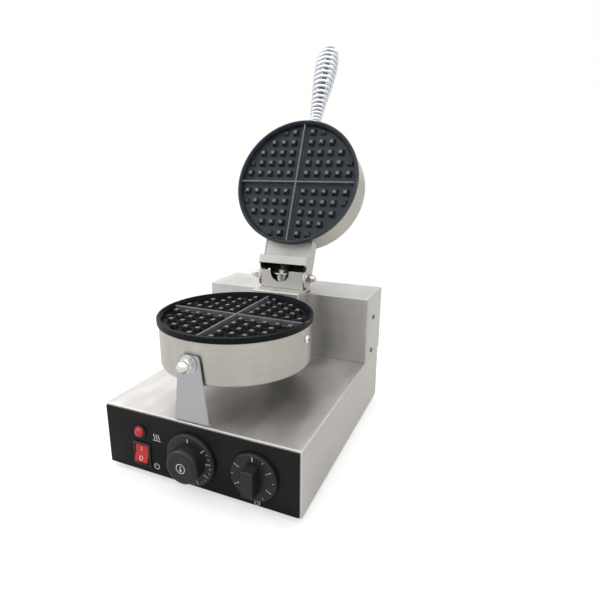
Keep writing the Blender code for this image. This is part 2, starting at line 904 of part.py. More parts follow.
# ---------------------------------------------------------------- lid


def lid_casing_and_plate():
    r = CASING_RADIUS
    low = RIM_BAND - RIM_RISE + GAP
    high = LID_DEPTH
    casing = turned(
        "lid_casing",
        [
            (0, high),
            (r - 0.002, high),
            (r, high - 0.002),
            (r, low),
            (r - SHEET, low),
            (r - SHEET, high - 0.0025),
            (r - 0.0025, high - SHEET),
            (0, high - SHEET),
        ],
        STEEL,
        LID_PLATE,
        sides=48,
    )
    rod = cut_cylinder("rod_hole", ROD_RADIUS + GAP, -0.03, 0.03, GRIP)
    leads = cut_cylinder("arm_lead_hole", 0.0050, 0.07, 0.10, LID_PLATE, centre=(0, 0.022), axis="Y", sides=16)
    smooth(cut(casing, rod, leads))
    waffle_plate("upper_plate", LID_PLATE, rotation=(math.pi, 0, 0))
    element("upper_element", LID_PLATE, PLATE_THICKNESS + 0.0038, 0.026)
    insulation("upper_insulation", LID_PLATE, 1)


def arm_round():
    """Cutter that leaves the arm's end fitted round the lid casing."""
    return cut_cylinder("arm_fit", CASING_RADIUS + GAP, -0.02, 0.09, LID_PLATE, sides=48)


def lid_arm():
    """Two side plates joined by a web that steps down to a lip."""
    inner, sheet = ARM_INNER, ARM_SHEET
    start = LID_PLATE_Y + 0.070
    middle = (ARM_HIGH + ARM_LOW) / 2
    side = [
        (start, ARM_HIGH),
        (start, -0.0005),
        (-0.0300, -0.0005),
        (-0.0260, ARM_LOW),
        *arc((0, middle), ARM_END_RADIUS, -90, 90, 14),
    ]
    turn = (math.pi / 2, 0, math.pi / 2)
    arm = flat("lid_arm", side, sheet, STEEL, LID, (inner + sheet / 2, 0, 0), turn)
    other = flat("other_side", side, sheet, None, LID, (-inner - sheet / 2, 0, 0), turn)
    reach = inner + sheet / 2
    web = cut_box("web", (-reach, start, 0), (reach, -0.0255, 0.002), LID)
    riser = cut_box("riser", (-reach, -0.0270, ARM_LOW), (reach, -0.0250, 0.002), LID)
    lip = cut_box("lip", (-reach, -0.0270, ARM_LOW), (reach, -0.0150, ARM_LOW + 0.0018), LID)
    pivot = cut_cylinder("arm_pivot_hole", 0.0034, -0.05, 0.05, LID, axis="X", sides=16)
    join(arm, other, web, riser, lip)
    cut(arm, pivot, arm_round())
    cover = box(
        "arm_rear_cover",
        (GAP - inner, start, ARM_HIGH - 0.0020),
        (inner - GAP, -0.0120, ARM_HIGH - 0.0008),
        BLACK,
        LID,
    )
    cut(cover, arm_round())


def lead_sleeve():
    """Insulating sleeve on the lid's leads, inside the arm."""
    z = LID_PLATE_Z + 0.022
    start = LID_PLATE_Y + CASING_RADIUS - 0.004
    points = [(0, start + (-0.022 - start) * i / 8, z) for i in range(9)]
    tube("lead_sleeve", points, 0.0036, BLACK, LID)


def handle():
    rod = cylinder("handle_rod", ROD_RADIUS, -0.004, ROD_LENGTH - 0.001, ZINC, GRIP, sides=16)
    smooth(rod)
    collar = cylinder("handle_collar", 0.0080, 0.0034, 0.0055, CHROME, GRIP, sides=6)
    cut(collar, cut_cylinder("collar_bore", ROD_RADIUS + GAP, -0.01, 0.02, GRIP))
    tube("handle_coil", coil_points(COIL_STEPS), WIRE_RADIUS, CHROME, GRIP)
    cap = turned(
        "handle_cap",
        [
            (0, ROD_LENGTH + 0.0020),
            (0.0035, ROD_LENGTH + 0.0017),
            (0.0057, ROD_LENGTH + 0.0006),
            (0.0064, ROD_LENGTH - 0.0008),
            (0.0064, ROD_LENGTH - 0.0025),
            (0.0044, ROD_LENGTH - 0.0025),
            (0.0044, ROD_LENGTH),
            (0, ROD_LENGTH),
        ],
        CHROME,
        GRIP,
        sides=16,
    )
    smooth(cap)


# ---------------------------------------------------------------- controls


def control_body(name, spot, radius, depth):
    """Housing behind the panel with a bushing for its shaft."""
    x, z = spot
    body = cylinder(name, radius, SHEET + GAP, depth, BLACK, centre=spot, axis="Y", sides=24)
    neck = cylinder(name + "_neck", 0.0050, -0.0019, 0.006, None, centre=spot, axis="Y", sides=16)
    bore = cut_cylinder(name + "_bore", 0.0034, -0.01, depth - 0.004, centre=spot, axis="Y", sides=16)
    join(body, neck)
    cut(body, bore)


def shaft(name, parent):
    return cylinder(name, 0.003, -0.0145, 0.018, ZINC, parent, axis="Y", sides=16)


def knob_frame(name, spot):
    return empty(name, (spot[0], 0, spot[1]), BASE)


def thermostat():
    control_body("thermostat_body", THERMOSTAT, 0.016, 0.034)
    axis = knob_frame("thermostat_axis", THERMOSTAT)
    shaft("thermostat_shaft", axis)
    knob = turned(
        "thermostat_knob",
        [
            (0, 0.0208),
            (0.0165, 0.0208),
            (0.0188, 0.0195),
            (0.0196, 0.0170),
            (0.0204, 0.0062),
            (0.0290, 0.0050),
            (0.0308, 0.0036),
            (0.0312, 0.0),
            (0, 0),
        ],
        BLACK,
        axis,
        location=(0, KNOB_BACK, 0),
        rotation=(math.pi / 2, 0, 0),
        sides=48,
    )
    bore = cut_cylinder("thermostat_knob_bore", 0.0033, -0.0150, 0.01, axis, axis="Y", sides=16)
    smooth(cut(knob, bore))


def timer():
    control_body("timer_body", TIMER, 0.020, 0.046)
    axis = knob_frame("timer_axis", TIMER)
    shaft("timer_shaft", axis)
    knob = turned(
        "timer_knob",
        [(0, 0.0046), (0.0255, 0.0046), (0.0272, 0.0034), (0.0276, 0.0), (0, 0)],
        BLACK,
        axis,
        location=(0, KNOB_BACK, 0),
        rotation=(math.pi / 2, 0, 0),
        sides=48,
    )
    outline = [(0.0020, -0.0185), (0.0178, -0.0140), (0.0178, 0.0140), (0.0020, 0.0185)]
    bar = flat(
        "timer_bar",
        outline,
        0.0115,
        None,
        axis,
        location=(0, KNOB_BACK, 0),
        rotation=(math.pi / 2, 0, -math.pi / 2),
    )
    bore = cut_cylinder("timer_knob_bore", 0.0033, -0.0150, 0.01, axis, axis="Y", sides=16)
    join(knob, bar)
    smooth(cut(knob, bore))


def power_switch():
    x, z = ROCKER
    front = -GAP - FASCIA_THICKNESS - GAP
    low, high = (x - 0.0122, front - 0.0016, z - 0.0150), (x + 0.0122, front, z + 0.0150)
    body = box("switch_body", low, high, BLACK)
    case = box("switch_case", (x - 0.0103, front - 0.0005, z - 0.0131), (x + 0.0103, 0.026, z + 0.0131), None)
    well = cut_box("switch_well", (x - 0.0094, -0.02, z - 0.0124), (x + 0.0094, 0.020, z + 0.0124))
    join(body, case)
    cut(body, well)
    pivot = empty("rocker_pivot", (x, ROCKER_PIVOT_Y, z), BASE, (-ROCKER_THROW, 0, 0))
    side = [
        (-0.0080, 0.0106),
        (-0.0068, 0),
        (-0.0080, -0.0106),
        (0.0010, -0.0106),
        (0.0070, -0.0040),
        (0.0070, 0.0040),
        (0.0010, 0.0106),
    ]
    flat("switch_rocker", side, 0.0182, RED, pivot, rotation=(math.pi / 2, 0, math.pi / 2))


def signal_lamp():
    x, z = LAMP
    front = -GAP - FASCIA_THICKNESS - GAP
    at = {"location": (x, 0, z), "rotation": (math.pi / 2, 0, 0)}
    body = turned(
        "lamp_body",
        [(0, 0.0028), (0.0080, 0.0028), (0.0080, -front), (0.0060, -front), (0.0060, -0.018), (0, -0.018)],
        BLACK,
        sides=18,
        **at,
    )
    smooth(body)
    lens = turned(
        "lamp_lens",
        [(0, 0.0086), (0.0030, 0.0082), (0.0055, 0.0070), (0.0070, 0.0050), (0.0074, 0.0031), (0, 0.0031)],
        RED,
        sides=18,
        **at,
    )
    smooth(lens)


base_shell()
fascia_panel()
bottom_plate_and_feet()
rear_housing()
rear_fittings()
hinge_pedestal()
hinge_bracket()
lead_bushing()
pivots()
pan()
pan_support("front", PLATE_CENTRE_Y - CASING_RADIUS, -1)
pan_support("rear", PLATE_CENTRE_Y + CASING_RADIUS, 1)
lid_casing_and_plate()
lid_arm()
lead_sleeve()
handle()
thermostat()
timer()
power_switch()
signal_lamp()
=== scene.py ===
"""Looks of a round four-quadrant waffle baker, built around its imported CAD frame.

Metres, +Z up, the front panel faces -Y. Base pieces are built in BASE, whose origin is at the middle of the
casing's front bottom edge. Lid pieces are built in LID, whose axes are the base's when the lid is closed.
"""

import json
import math

import bmesh
import bpy
import numpy as np
from mathutils import Matrix, Vector


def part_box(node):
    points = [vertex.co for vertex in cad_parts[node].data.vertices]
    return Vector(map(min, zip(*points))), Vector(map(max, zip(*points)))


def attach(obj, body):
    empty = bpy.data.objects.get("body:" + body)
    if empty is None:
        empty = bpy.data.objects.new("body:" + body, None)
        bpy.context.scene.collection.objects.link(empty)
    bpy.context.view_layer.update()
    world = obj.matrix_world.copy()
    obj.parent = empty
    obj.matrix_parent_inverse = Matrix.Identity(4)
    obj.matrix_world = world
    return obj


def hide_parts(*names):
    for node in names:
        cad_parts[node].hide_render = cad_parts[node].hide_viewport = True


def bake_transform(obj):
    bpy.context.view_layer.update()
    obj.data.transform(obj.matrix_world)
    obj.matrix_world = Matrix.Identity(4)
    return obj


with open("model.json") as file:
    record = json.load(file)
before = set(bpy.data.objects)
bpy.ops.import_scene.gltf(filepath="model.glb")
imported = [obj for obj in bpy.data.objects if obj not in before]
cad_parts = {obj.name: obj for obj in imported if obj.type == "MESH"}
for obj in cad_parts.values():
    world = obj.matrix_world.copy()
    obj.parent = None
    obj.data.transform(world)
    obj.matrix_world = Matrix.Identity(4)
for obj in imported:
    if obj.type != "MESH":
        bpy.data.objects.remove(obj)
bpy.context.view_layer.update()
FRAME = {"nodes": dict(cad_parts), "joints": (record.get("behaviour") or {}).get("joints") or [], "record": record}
JOINTS = {joint["name"]: joint for joint in FRAME["joints"]}

# ---- sizes

# Casing sheet and its bends, the front panel's face and the knobs' undersides in BASE, and the gap between
# the closed plates' rims
SHEET = 0.0014
BEND = 0.0014
FASCIA_FACE = -0.0015
KNOB_FOOT = -0.0022
LID_GAP = 0.0005

# Waffle plates: heights are measured from the plane of the stud tops
RIM_RISE = 0.0026
RIM_BAND = 0.0070
LEDGE_RADIUS = 0.0892
LEDGE_RISE = 0.0008
CAVITY_RADIUS = 0.088
STUD_WALL = 0.0850
LOW_STUD = 0.55
LOW_STUD_START = 0.080
CAVITY_DEPTH = 0.0065
PLATE_THICKNESS = 0.016
STUD_FIRST = 0.0137
STUD_PITCH = 0.0157
STUD_BASE = 0.0092
STUD_TOP = 0.0050
STUD_REACH = 0.084
RIB_BASE = 0.0044
RIB_TOP = 0.0020
LID_DEPTH = 0.053

# Coiled grip
GRIP_TILT = math.radians(6.2)
GRIP_START = 0.0885
GRIP_RISE = 0.0335
WIRE_RADIUS = 0.0024
COIL_START = 0.008
COIL_END = 0.150
COIL_ROOT = 0.0063
COIL_BELLY = 0.0153
COIL_TIP = 0.0095
COIL_PEAK = 0.77

# Hinge: sheet of the bracket, tube for the lid's leads, and where the arm starts on the lid's back half
BRACKET_SHEET = 0.0015
LEAD_BODY = 0.0100
ARM_START = 0.070
ARM_COVER_WIDTH = 0.0342

# Clearance between neighbouring pieces, and thickness of the prints on the knobs and on the panel
CLEARANCE = 0.0003
KNOB_PRINT = 0.00012
PANEL_PRINT = 0.0001

# Camera
CAMERA_PLACE = (0.2774, -0.3813, 0.3473)
CAMERA_AZIMUTH = math.radians(24.12)
CAMERA_ELEVATION = math.radians(15.19)
CAMERA_LENS = 28.73
CAMERA_SHIFT = (0.0245, -0.008)
SENSOR_WIDTH = 36

# Light: strength of the room near the floor and overhead, its share behind and in front, and the lamps'
# direction, distance, diameter and power
ROOM_LOW = 0.70
ROOM_HIGH = 1.74
ROOM_BACK = 0.96
ROOM_FRONT = 1.28
LIGHT_AIM = Vector((0, 0.02, 0.25))
LIGHTS = {
    "key_light": ((-0.95, -0.28, 0.66), 1.7, 0.45, 6),
    "sheen_light": ((-0.43, -0.74, 0.52), 2.0, 1.2, 1.2),
    "fill_light": ((0.9, -0.35, 0.35), 2.2, 1.2, 1),
    "back_light": ((-0.42, 0.76, 0.50), 2.2, 1.3, 0.8),
}

# Broad dark streaks in the brushed steel, partly its own cloudiness and partly painted shade and reflection: their
# colour against the steel's, and how much of it shows
CLOUD_AND_SHADE_DARK = 0.62
CLOUD_AND_SHADE_SHARE = 0.36


# ---- frames


def at(x, y, z):
    return Matrix.Translation((x, y, z))


def turn(degrees, axis):
    return Matrix.Rotation(math.radians(degrees), 4, axis)


def middle(node):
    low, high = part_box(node)
    return (low + high) / 2


def base_box(node):
    """Low and high corners of a CAD node in BASE."""
    return [TO_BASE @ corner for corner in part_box(node)]


SHELL_LOW, SHELL_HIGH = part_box("base_shell")
BASE = at(0, SHELL_LOW.y, SHELL_LOW.z)
TO_BASE = BASE.inverted()
BASE_WIDTH, BASE_DEPTH, BASE_HEIGHT = SHELL_HIGH - SHELL_LOW
PLATE_LOW, PLATE_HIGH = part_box("lower_plate")
PLATE_SPOT = TO_BASE @ Vector((0, (PLATE_LOW.y + PLATE_HIGH.y) / 2, PLATE_HIGH.z - RIM_RISE))
RIM_RADIUS = (PLATE_HIGH.x - PLATE_LOW.x) / 2
PAN = BASE @ Matrix.Translation(PLATE_SPOT)
CASING_RADIUS = (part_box("pan_casing")[1].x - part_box("pan_casing")[0].x) / 2
PAN_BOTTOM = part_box("pan_casing")[0].z - PLATE_HIGH.z + RIM_RISE

HINGE = TO_BASE @ Vector(JOINTS["lid_hinge"]["pos_m"])
OPEN_ANGLE = JOINTS["lid_hinge"]["range_deg"][1]
LID = BASE @ Matrix.Translation(HINGE) @ turn(-OPEN_ANGLE, "X")
LID_PLATE_Y = PLATE_SPOT.y - HINGE.y
LID_PLATE_Z = PLATE_SPOT.z + 2 * RIM_RISE + LID_GAP - HINGE.z
LID_PLATE = LID @ at(0, LID_PLATE_Y, LID_PLATE_Z)
GRIP = LID @ at(0, LID_PLATE_Y - GRIP_START, LID_PLATE_Z + GRIP_RISE)
GRIP = GRIP @ Matrix.Rotation(math.pi / 2 - GRIP_TILT, 4, "X")


def joint_spot(name):
    return TO_BASE @ Vector(JOINTS[name]["pos_m"])


def facing_front(spot, y=0.0):
    """A frame on the front panel whose local Z points out of it, towards -Y."""
    return BASE @ at(spot.x, y, spot.z) @ turn(90, "X")


# ---- materials


def tinted(colour, factor, lift=0.0):
    """The colour, lighter or darker by factor and lifted a little, with its alpha."""
    return tuple(min(c * factor + lift, 1) for c in colour) + (1,)


class Nodes:
    """Adds nodes to one node tree and links them."""

    def __init__(self, tree):
        self.tree = tree

    def node(self, kind, inputs=(), **settings):
        made = self.tree.nodes.new("ShaderNode" + kind)
        for key, value in settings.items():
            setattr(made, key, value)
        for key, value in dict(inputs).items():
            if isinstance(value, bpy.types.NodeSocket):
                self.tree.links.new(value, made.inputs[key])
            else:
                made.inputs[key].default_value = value
        return made

    def between(self, factor, low, high, start=0.3, end=0.7, **settings):
        inputs = {"Value": factor, "From Min": start, "From Max": end, "To Min": low, "To Max": high}
        return self.node("MapRange", inputs, **settings).outputs["Result"]

    def mixed(self, factor, first, second):
        return self.node("Mix", {0: factor, 6: first, 7: second}, data_type="RGBA").outputs[2]

    def maths(self, operation, first, second):
        return self.node("Math", {0: first, 1: second}, operation=operation).outputs["Value"]


class Look(Nodes):
    """One node material, built up step by step around its Principled shader."""

    def __init__(self, name, colour, roughness, metallic=0.0, **sockets):
        self.material = bpy.data.materials.new(name)
        self.material.use_nodes = True
        self.material.diffuse_color = (*colour, 1)
        super().__init__(self.material.node_tree)
        self.shader = self.tree.nodes["Principled BSDF"]
        self.colour = colour
        values = {"Base Color": (*colour, 1), "Roughness": roughness, "Metallic": metallic}
        values.update({key.replace("_", " "): value for key, value in sockets.items()})
        for key, value in values.items():
            self.shader.inputs[key].default_value = value
        self.normal = None

    def place(self, scale=(1, 1, 1), rotation=(0, 0, 0)):
        """Object coordinates in metres, stretched."""
        source = self.node("TexCoord").outputs["Object"]
        inputs = {"Vector": source, "Scale": scale, "Rotation": rotation}
        return self.node("Mapping", inputs).outputs["Vector"]

    def noise(self, vector, scale, detail=2.0, roughness=0.5):
        inputs = {"Vector": vector, "Scale": scale, "Detail": detail, "Roughness": roughness}
        return self.node("TexNoise", inputs).outputs["Fac"]

    def bump(self, height, distance, strength=1.0):
        inputs = {"Height": height, "Distance": distance, "Strength": strength}
        if self.normal:
            inputs["Normal"] = self.normal
        self.normal = self.node("Bump", inputs).outputs["Normal"]
        self.set("Normal", self.normal)

    def edges(self, start=0.51, end=0.60):
        """1 along convex edges and 0 elsewhere."""
        pointiness = self.node("NewGeometry").outputs["Pointiness"]
        return self.between(pointiness, 0.0, 1.0, start, end)

    def set(self, socket, value):
        self.tree.links.new(value, self.shader.inputs[socket])

    def shade(self, factor):
        """The material's own colour, darker or lighter by factor (0 to 1)."""
        return self.mixed(factor, tinted(self.colour, 0.78), tinted(self.colour, 1.12))


def brushed(name, colour, roughness, grain="X", contrast=1.0):
    """Stainless sheet: fine brush lines along one axis, smudges, broad dark streaks that are partly cloudiness and
    partly painted shade and reflection, and brighter edges.
    """
    look = Look(name, colour, roughness, 1.0, Specular_IOR_Level=0.5)
    long, short = 7.0, 2200.0
    scales = {
        "X": (long, short, short),
        "Y": (short, long, short),
        "Z": (short, short, long),
        "ROUND": (long, long, short),
    }
    lines = look.noise(look.place(scales[grain]), 1.0, 2.0, 0.6)
    across = None
    if grain == "X":
        side = look.noise(look.place(scales["Y"]), 1.0, 2.0, 0.6)
        normal = look.node("TexCoord").outputs["Normal"]
        across = look.node("SeparateXYZ", {"Vector": normal}).outputs["X"]
        across = look.maths("ABSOLUTE", across, 0.0)
        across = look.between(across, 0.0, 1.0, 0.6, 0.8)
        lines = look.node("Mix", {"Factor": across, "A": lines, "B": side}).outputs["Result"]
    smudge = look.noise(look.place(), 14.0, 4.0, 0.6)
    tone = look.maths("MULTIPLY", lines, 0.5)
    tone = look.maths("ADD", tone, look.maths("MULTIPLY", smudge, 0.5))
    span = 0.5 + 0.35 / contrast
    body = look.shade(look.between(tone, 0.0, 1.0, 1 - span, span))
    # Broad dark streaks: partly the steel's own cloudiness, partly painted shade and reflection; they also vary
    # the roughness.
    cloud_and_shade = look.noise(look.place((24.0, 6.0, 6.5)), 1.0, 3.0, 0.55)
    body = look.mixed(look.between(cloud_and_shade, CLOUD_AND_SHADE_SHARE * contrast, 0.0), body, tinted(colour, CLOUD_AND_SHADE_DARK))
    look.set("Base Color", look.mixed(look.maths("MULTIPLY", look.edges(), 0.3), body, tinted(colour, 1.2)))
    rough = look.maths("ADD", look.between(smudge, -0.05, 0.05), look.between(lines, -0.03, 0.03))
    rough = look.maths("ADD", rough, look.between(cloud_and_shade, -0.06, 0.06))
    look.set("Roughness", look.maths("ADD", rough, roughness))
    look.bump(lines, 0.000006 * contrast)
    look.shader.inputs["Anisotropic"].default_value = 0.8
    if grain == "ROUND":
        look.shader.inputs["Anisotropic Rotation"].default_value = 0.25
        look.set("Tangent", look.node("Tangent", direction_type="RADIAL", axis="Z").outputs["Tangent"])
    else:
        look.set("Tangent", across_grain(look, grain, across))
    return look.material


def across_grain(look, grain, on_sides):
    """The direction in the surface at right angles to the brushing, along which reflections are drawn out."""
    along = {"X": (1, 0, 0), "Y": (0, 1, 0), "Z": (0, 0, 1)}[grain]
    if grain == "X":
        along = look.node("Mix", {"Factor": on_sides, "A": along, "B": (0, 1, 0)}, data_type="VECTOR")
        along = along.outputs[1]
    normal = look.node("TexCoord").outputs["Normal"]
    crossed = look.node("VectorMath", {0: normal, 1: along}, operation="CROSS_PRODUCT").outputs["Vector"]
    transform = {"vector_type": "VECTOR", "convert_from": "OBJECT", "convert_to": "WORLD"}
    return look.node("VectorTransform", {"Vector": crossed}, **transform).outputs["Vector"]


def plated(name, colour, roughness, mottle):
    """Plated or polished metal: slight mottling, hairline scratches and brighter edges."""
    look = Look(name, colour, roughness, 1.0)
    cloud = look.noise(look.place(), mottle, 3.0)
    scratch = look.noise(look.place((40, 2400, 900), (0.4, 0.2, 0.7)), 1.0, 2.0)
    look.set("Base Color", look.mixed(look.edges(), look.shade(cloud), tinted(colour, 1.25)))
    rough = look.maths("ADD", look.between(cloud, -0.03, 0.06), look.between(scratch, 0.0, 0.04, 0.55, 0.7))
    look.set("Roughness", look.maths("ADD", rough, roughness))
    look.bump(scratch, 0.000006)
    return look.material


def moulded(name, colour, roughness, grain, depth, gloss=0.5, worn=0.35):
    """Moulded plastic, rubber or paint: fine grain, soft dust marks and paler edges."""
    look = Look(name, colour, roughness, Specular_IOR_Level=gloss)
    fine = look.noise(look.place(), grain, 2.0)
    cloud = look.noise(look.place(), 45.0, 4.0, 0.6)
    edge = look.maths("MULTIPLY", look.edges(0.52, 0.62), worn)
    look.set("Base Color", look.mixed(edge, look.shade(cloud), tinted(colour, 2.2, 0.02)))
    look.set("Roughness", look.maths("ADD", look.between(cloud, -0.05, 0.06), roughness))
    look.bump(fine, depth)
    return look.material


def cast_coating(name, low, high, gloss, worn_lit_top):
    """Cast aluminium under black non-stick: orange peel, faint cloudiness, and stud tops and lip edges that are
    smoother with wear and lighter with a painted highlight.
    """
    look = Look(name, high, 0.45, Specular_IOR_Level=gloss)
    look.shader.inputs["Specular Tint"].default_value = (0.84, 0.92, 1.0, 1)
    peel = look.noise(look.place(), 900.0, 3.0, 0.6)
    fine = look.noise(look.place(), 3800.0, 1.0)
    cloud = look.noise(look.place(), 38.0, 4.0, 0.65)
    body = look.mixed(look.between(cloud, 0.0, 1.0), (*low, 1), (*high, 1))
    parts = look.node("SeparateXYZ", {"Vector": look.place()}).outputs
    flat = look.node("CombineXYZ", {"X": parts["X"], "Y": parts["Y"]}).outputs["Vector"]
    from_middle = look.node("VectorMath", {0: flat}, operation="LENGTH").outputs["Value"]
    inside = look.between(from_middle, 1.0, 0.0, CAVITY_RADIUS - 0.0015, CAVITY_RADIUS - 0.0005)
    top = look.maths("MULTIPLY", look.between(parts["Z"], 0.0, 1.0, -0.0005, -0.0001), inside)
    # Stud tops and the lip's edges: a painted highlight in the colour, and smoother with wear.
    worn = look.maths("MULTIPLY", top, look.between(cloud, 0.7, 1.0))
    lip = look.maths("MULTIPLY", look.edges(0.52, 0.60), look.between(cloud, 0.3, 0.7))
    worn = look.maths("MAXIMUM", worn, lip)
    look.set("Base Color", look.mixed(worn, body, (*worn_lit_top, 1)))
    rough = look.maths("ADD", look.between(cloud, 0.40, 0.50), look.between(peel, -0.03, 0.03))
    look.set("Roughness", look.maths("SUBTRACT", rough, look.maths("MULTIPLY", worn, 0.10)))
    look.bump(peel, 0.00006, 0.7)
    look.bump(fine, 0.000020)
    return look.material


def woven_sleeve():
    """Braided glass sleeve: two crossed sets of strands."""
    look = Look("sleeve_look", (0.03, 0.03, 0.032), 0.75)
    waves = []
    for lean in (0.8, -0.8):
        inputs = {"Vector": look.place(rotation=(lean, 0, 0)), "Scale": 260.0}
        waves.append(look.node("TexWave", inputs).outputs["Fac"])
    strands = look.maths("MAXIMUM", *waves)
    look.set("Base Color", look.mixed(strands, (0.012, 0.012, 0.012, 1), (0.06, 0.06, 0.062, 1)))
    look.bump(strands, 0.00025)
    return look.material


def lens_red():
    """Clear red lens with a soft inner diffuser."""
    look = Look("red_lens_look", (0.36, 0.010, 0.012), 0.14)
    ribs = look.noise(look.place((900, 900, 900)), 1.0, 1.0)
    cloud = look.noise(look.place(), 120.0, 3.0)
    look.set("Base Color", look.mixed(cloud, (0.27, 0.006, 0.008, 1), (0.44, 0.016, 0.016, 1)))
    look.set("Roughness", look.between(cloud, 0.10, 0.20))
    look.bump(ribs, 0.00002)
    return look.material


def print_white():
    """White ink, a little worn."""
    look = Look("print_look", (0.62, 0.62, 0.60), 0.55)
    wear = look.noise(look.place(), 900.0, 3.0)
    worn, fresh = (0.34, 0.34, 0.33, 1), (0.56, 0.56, 0.54, 1)
    look.set("Base Color", look.mixed(look.between(wear, 0.0, 1.0), worn, fresh))
    look.set("Roughness", look.between(wear, 0.45, 0.65))
    return look.material


def board(name, colour, roughness, grain):
    """Fibre board or ceramic with a faint grain."""
    look = Look(name, colour, roughness)
    fibres = look.noise(look.place((1, 3, 1)), grain, 5.0, 0.7)
    look.set("Base Color", look.shade(fibres))
    look.set("Roughness", look.between(fibres, roughness - 0.08, roughness + 0.05))
    look.bump(fibres, 0.0001)
    return look.material


STEEL = (0.60, 0.585, 0.565)
LOOKS = {
    "steel": brushed("steel_look", STEEL, 0.41, "X", 1.9),
    "steel_housing": brushed("steel_housing_look", (0.53, 0.52, 0.505), 0.40, "X", 1.9),
    "steel_round": brushed("steel_round_look", (0.53, 0.512, 0.475), 0.36, "ROUND", 1.5),
    # A darker copy of the stainless for the arm and the hinge bracket: its darker colour is painted shade that
    # holds down their highlights.
    "steel_lid": brushed("steel_lid_look", (0.51, 0.50, 0.485), 0.50, "X", 0.8),
    "bracket_steel": brushed("bracket_steel_look", (0.52, 0.54, 0.565), 0.50, "Z", 0.8),
    "chrome": plated("chrome_look", (0.72, 0.71, 0.69), 0.15, 40.0),
    "wire": plated("wire_look", (0.66, 0.69, 0.73), 0.27, 40.0),
    "brassy": plated("brassy_look", (0.54, 0.52, 0.46), 0.24, 90.0),
    "dark_steel": plated("dark_steel_look", (0.16, 0.16, 0.165), 0.45, 60.0),
    "zinc": plated("zinc_look", (0.60, 0.60, 0.59), 0.30, 260.0),
    "element": plated("element_look", (0.33, 0.31, 0.30), 0.45, 90.0),
    # Coating of the upper plate; its last colour is the stud tops, partly wear and partly a painted highlight.
    "plate_coating": cast_coating(
        "plate_coating_look", (0.0095, 0.0112, 0.0155), (0.0180, 0.0205, 0.0275), 0.30, (0.125, 0.138, 0.155)
    ),
    # A copy of the same coating for the lower plate: a darker body as painted shade among the studs, and lighter
    # stud tops as a stronger painted highlight.
    "shaded_coating": cast_coating(
        "shaded_coating_look", (0.0012, 0.0014, 0.0018), (0.0034, 0.0038, 0.0046), 0.12, (0.17, 0.177, 0.185)
    ),
    "fascia": moulded("fascia_look", (0.0045, 0.0045, 0.005), 0.36, 3000.0, 0.000008, 0.12, 0.15),
    "black_plastic": moulded("black_plastic_look", (0.0085, 0.0085, 0.009), 0.38, 1900.0, 0.00002, 0.32, 0.3),
    # Black for the backs of the arm and the hinge bracket: painted shade in their shadowed insides.
    "black_paint": moulded("shade_black_look", (0.006, 0.006, 0.006), 0.55, 1500.0, 0.00004, 0.2),
    "sleeve": woven_sleeve(),
    "rubber": moulded("rubber_look", (0.014, 0.014, 0.014), 0.80, 1200.0, 0.00006, 0.3),
    "red_plastic": moulded("red_plastic_look", (0.40, 0.010, 0.012), 0.25, 2200.0, 0.00001, 0.4, 0.1),
    "red_lens": lens_red(),
    "brass": plated("brass_look", (0.60, 0.46, 0.20), 0.30, 90.0),
    "insulation": board("insulation_look", (0.74, 0.71, 0.64), 0.88, 420.0),
    "terminal": board("terminal_look", (0.80, 0.80, 0.76), 0.35, 200.0),
    "nylon": moulded("nylon_look", (0.60, 0.59, 0.54), 0.45, 1500.0, 0.00002),
    "print": print_white(),
}


def dress_cad_nodes():
    """Gives every CAD node the finish of its slot in the record."""
    for row in FRAME["record"]["subparts"]:
        mesh = FRAME["nodes"][row["node"]].data
        mesh.materials.clear()
        look = "dark_steel" if row["node"] == "handle_rod" else row["material_slot"]
        mesh.materials.append(LOOKS[look])


# ---- mesh helpers


def placed(name, data):
    """A new object in the scene."""
    obj = bpy.data.objects.new(name, data)
    bpy.context.scene.collection.objects.link(obj)
    return obj


def mesh_of(bm, name, outward=True):
    """A mesh of the faces, which are turned outward if asked. It uses up bm."""
    mesh = bpy.data.meshes.new(name)
    if outward:
        bmesh.ops.recalc_face_normals(bm, faces=bm.faces)
    bm.to_mesh(mesh)
    bm.free()
    return mesh


def opened(mesh):
    """A bmesh of the mesh's faces."""
    bm = bmesh.new()
    bm.from_mesh(mesh)
    return bm


def piece(name, shape, look, body, frame, stands_for=None, angle=35):
    """Makes a piece in the given frame: its finish, the body that it rides on, and the node it replaces."""
    mesh = mesh_of(shape, name) if isinstance(shape, bmesh.types.BMesh) else shape
    mesh.shade_smooth()
    mesh.set_sharp_from_angle(angle=math.radians(angle))
    mesh.materials.clear()
    mesh.materials.append(LOOKS[look])
    obj = placed(name, mesh)
    obj.matrix_world = frame
    normals = obj.modifiers.new("even shading", "WEIGHTED_NORMAL")
    normals.keep_sharp = True
    if body:
        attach(obj, body)
    if stands_for:
        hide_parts(stands_for)
    return obj


def filleted(corners, steps=4, closed=False):
    """Points of an outline of (x, y, radius) corners, each rounded by its radius."""
    points = []
    count = len(corners)
    for i, (x, y, radius) in enumerate(corners):
        here = Vector((x, y))
        if radius <= 0 or (not closed and i in (0, count - 1)):
            points.append((x, y))
            continue
        before = (Vector(corners[i - 1][:2]) - here).normalized()
        after = (Vector(corners[(i + 1) % count][:2]) - here).normalized()
        half = before.angle(after) / 2
        reach = radius / math.tan(half)
        centre = here + (before + after).normalized() * (radius / math.sin(half))
        start = here + before * reach - centre
        end = here + after * reach - centre
        sweep = start.angle_signed(end)
        for k in range(steps + 1):
            turned = start.copy()
            turned.rotate(Matrix.Rotation(-sweep * k / steps, 2))
            points.append(tuple(centre + turned))
    return points


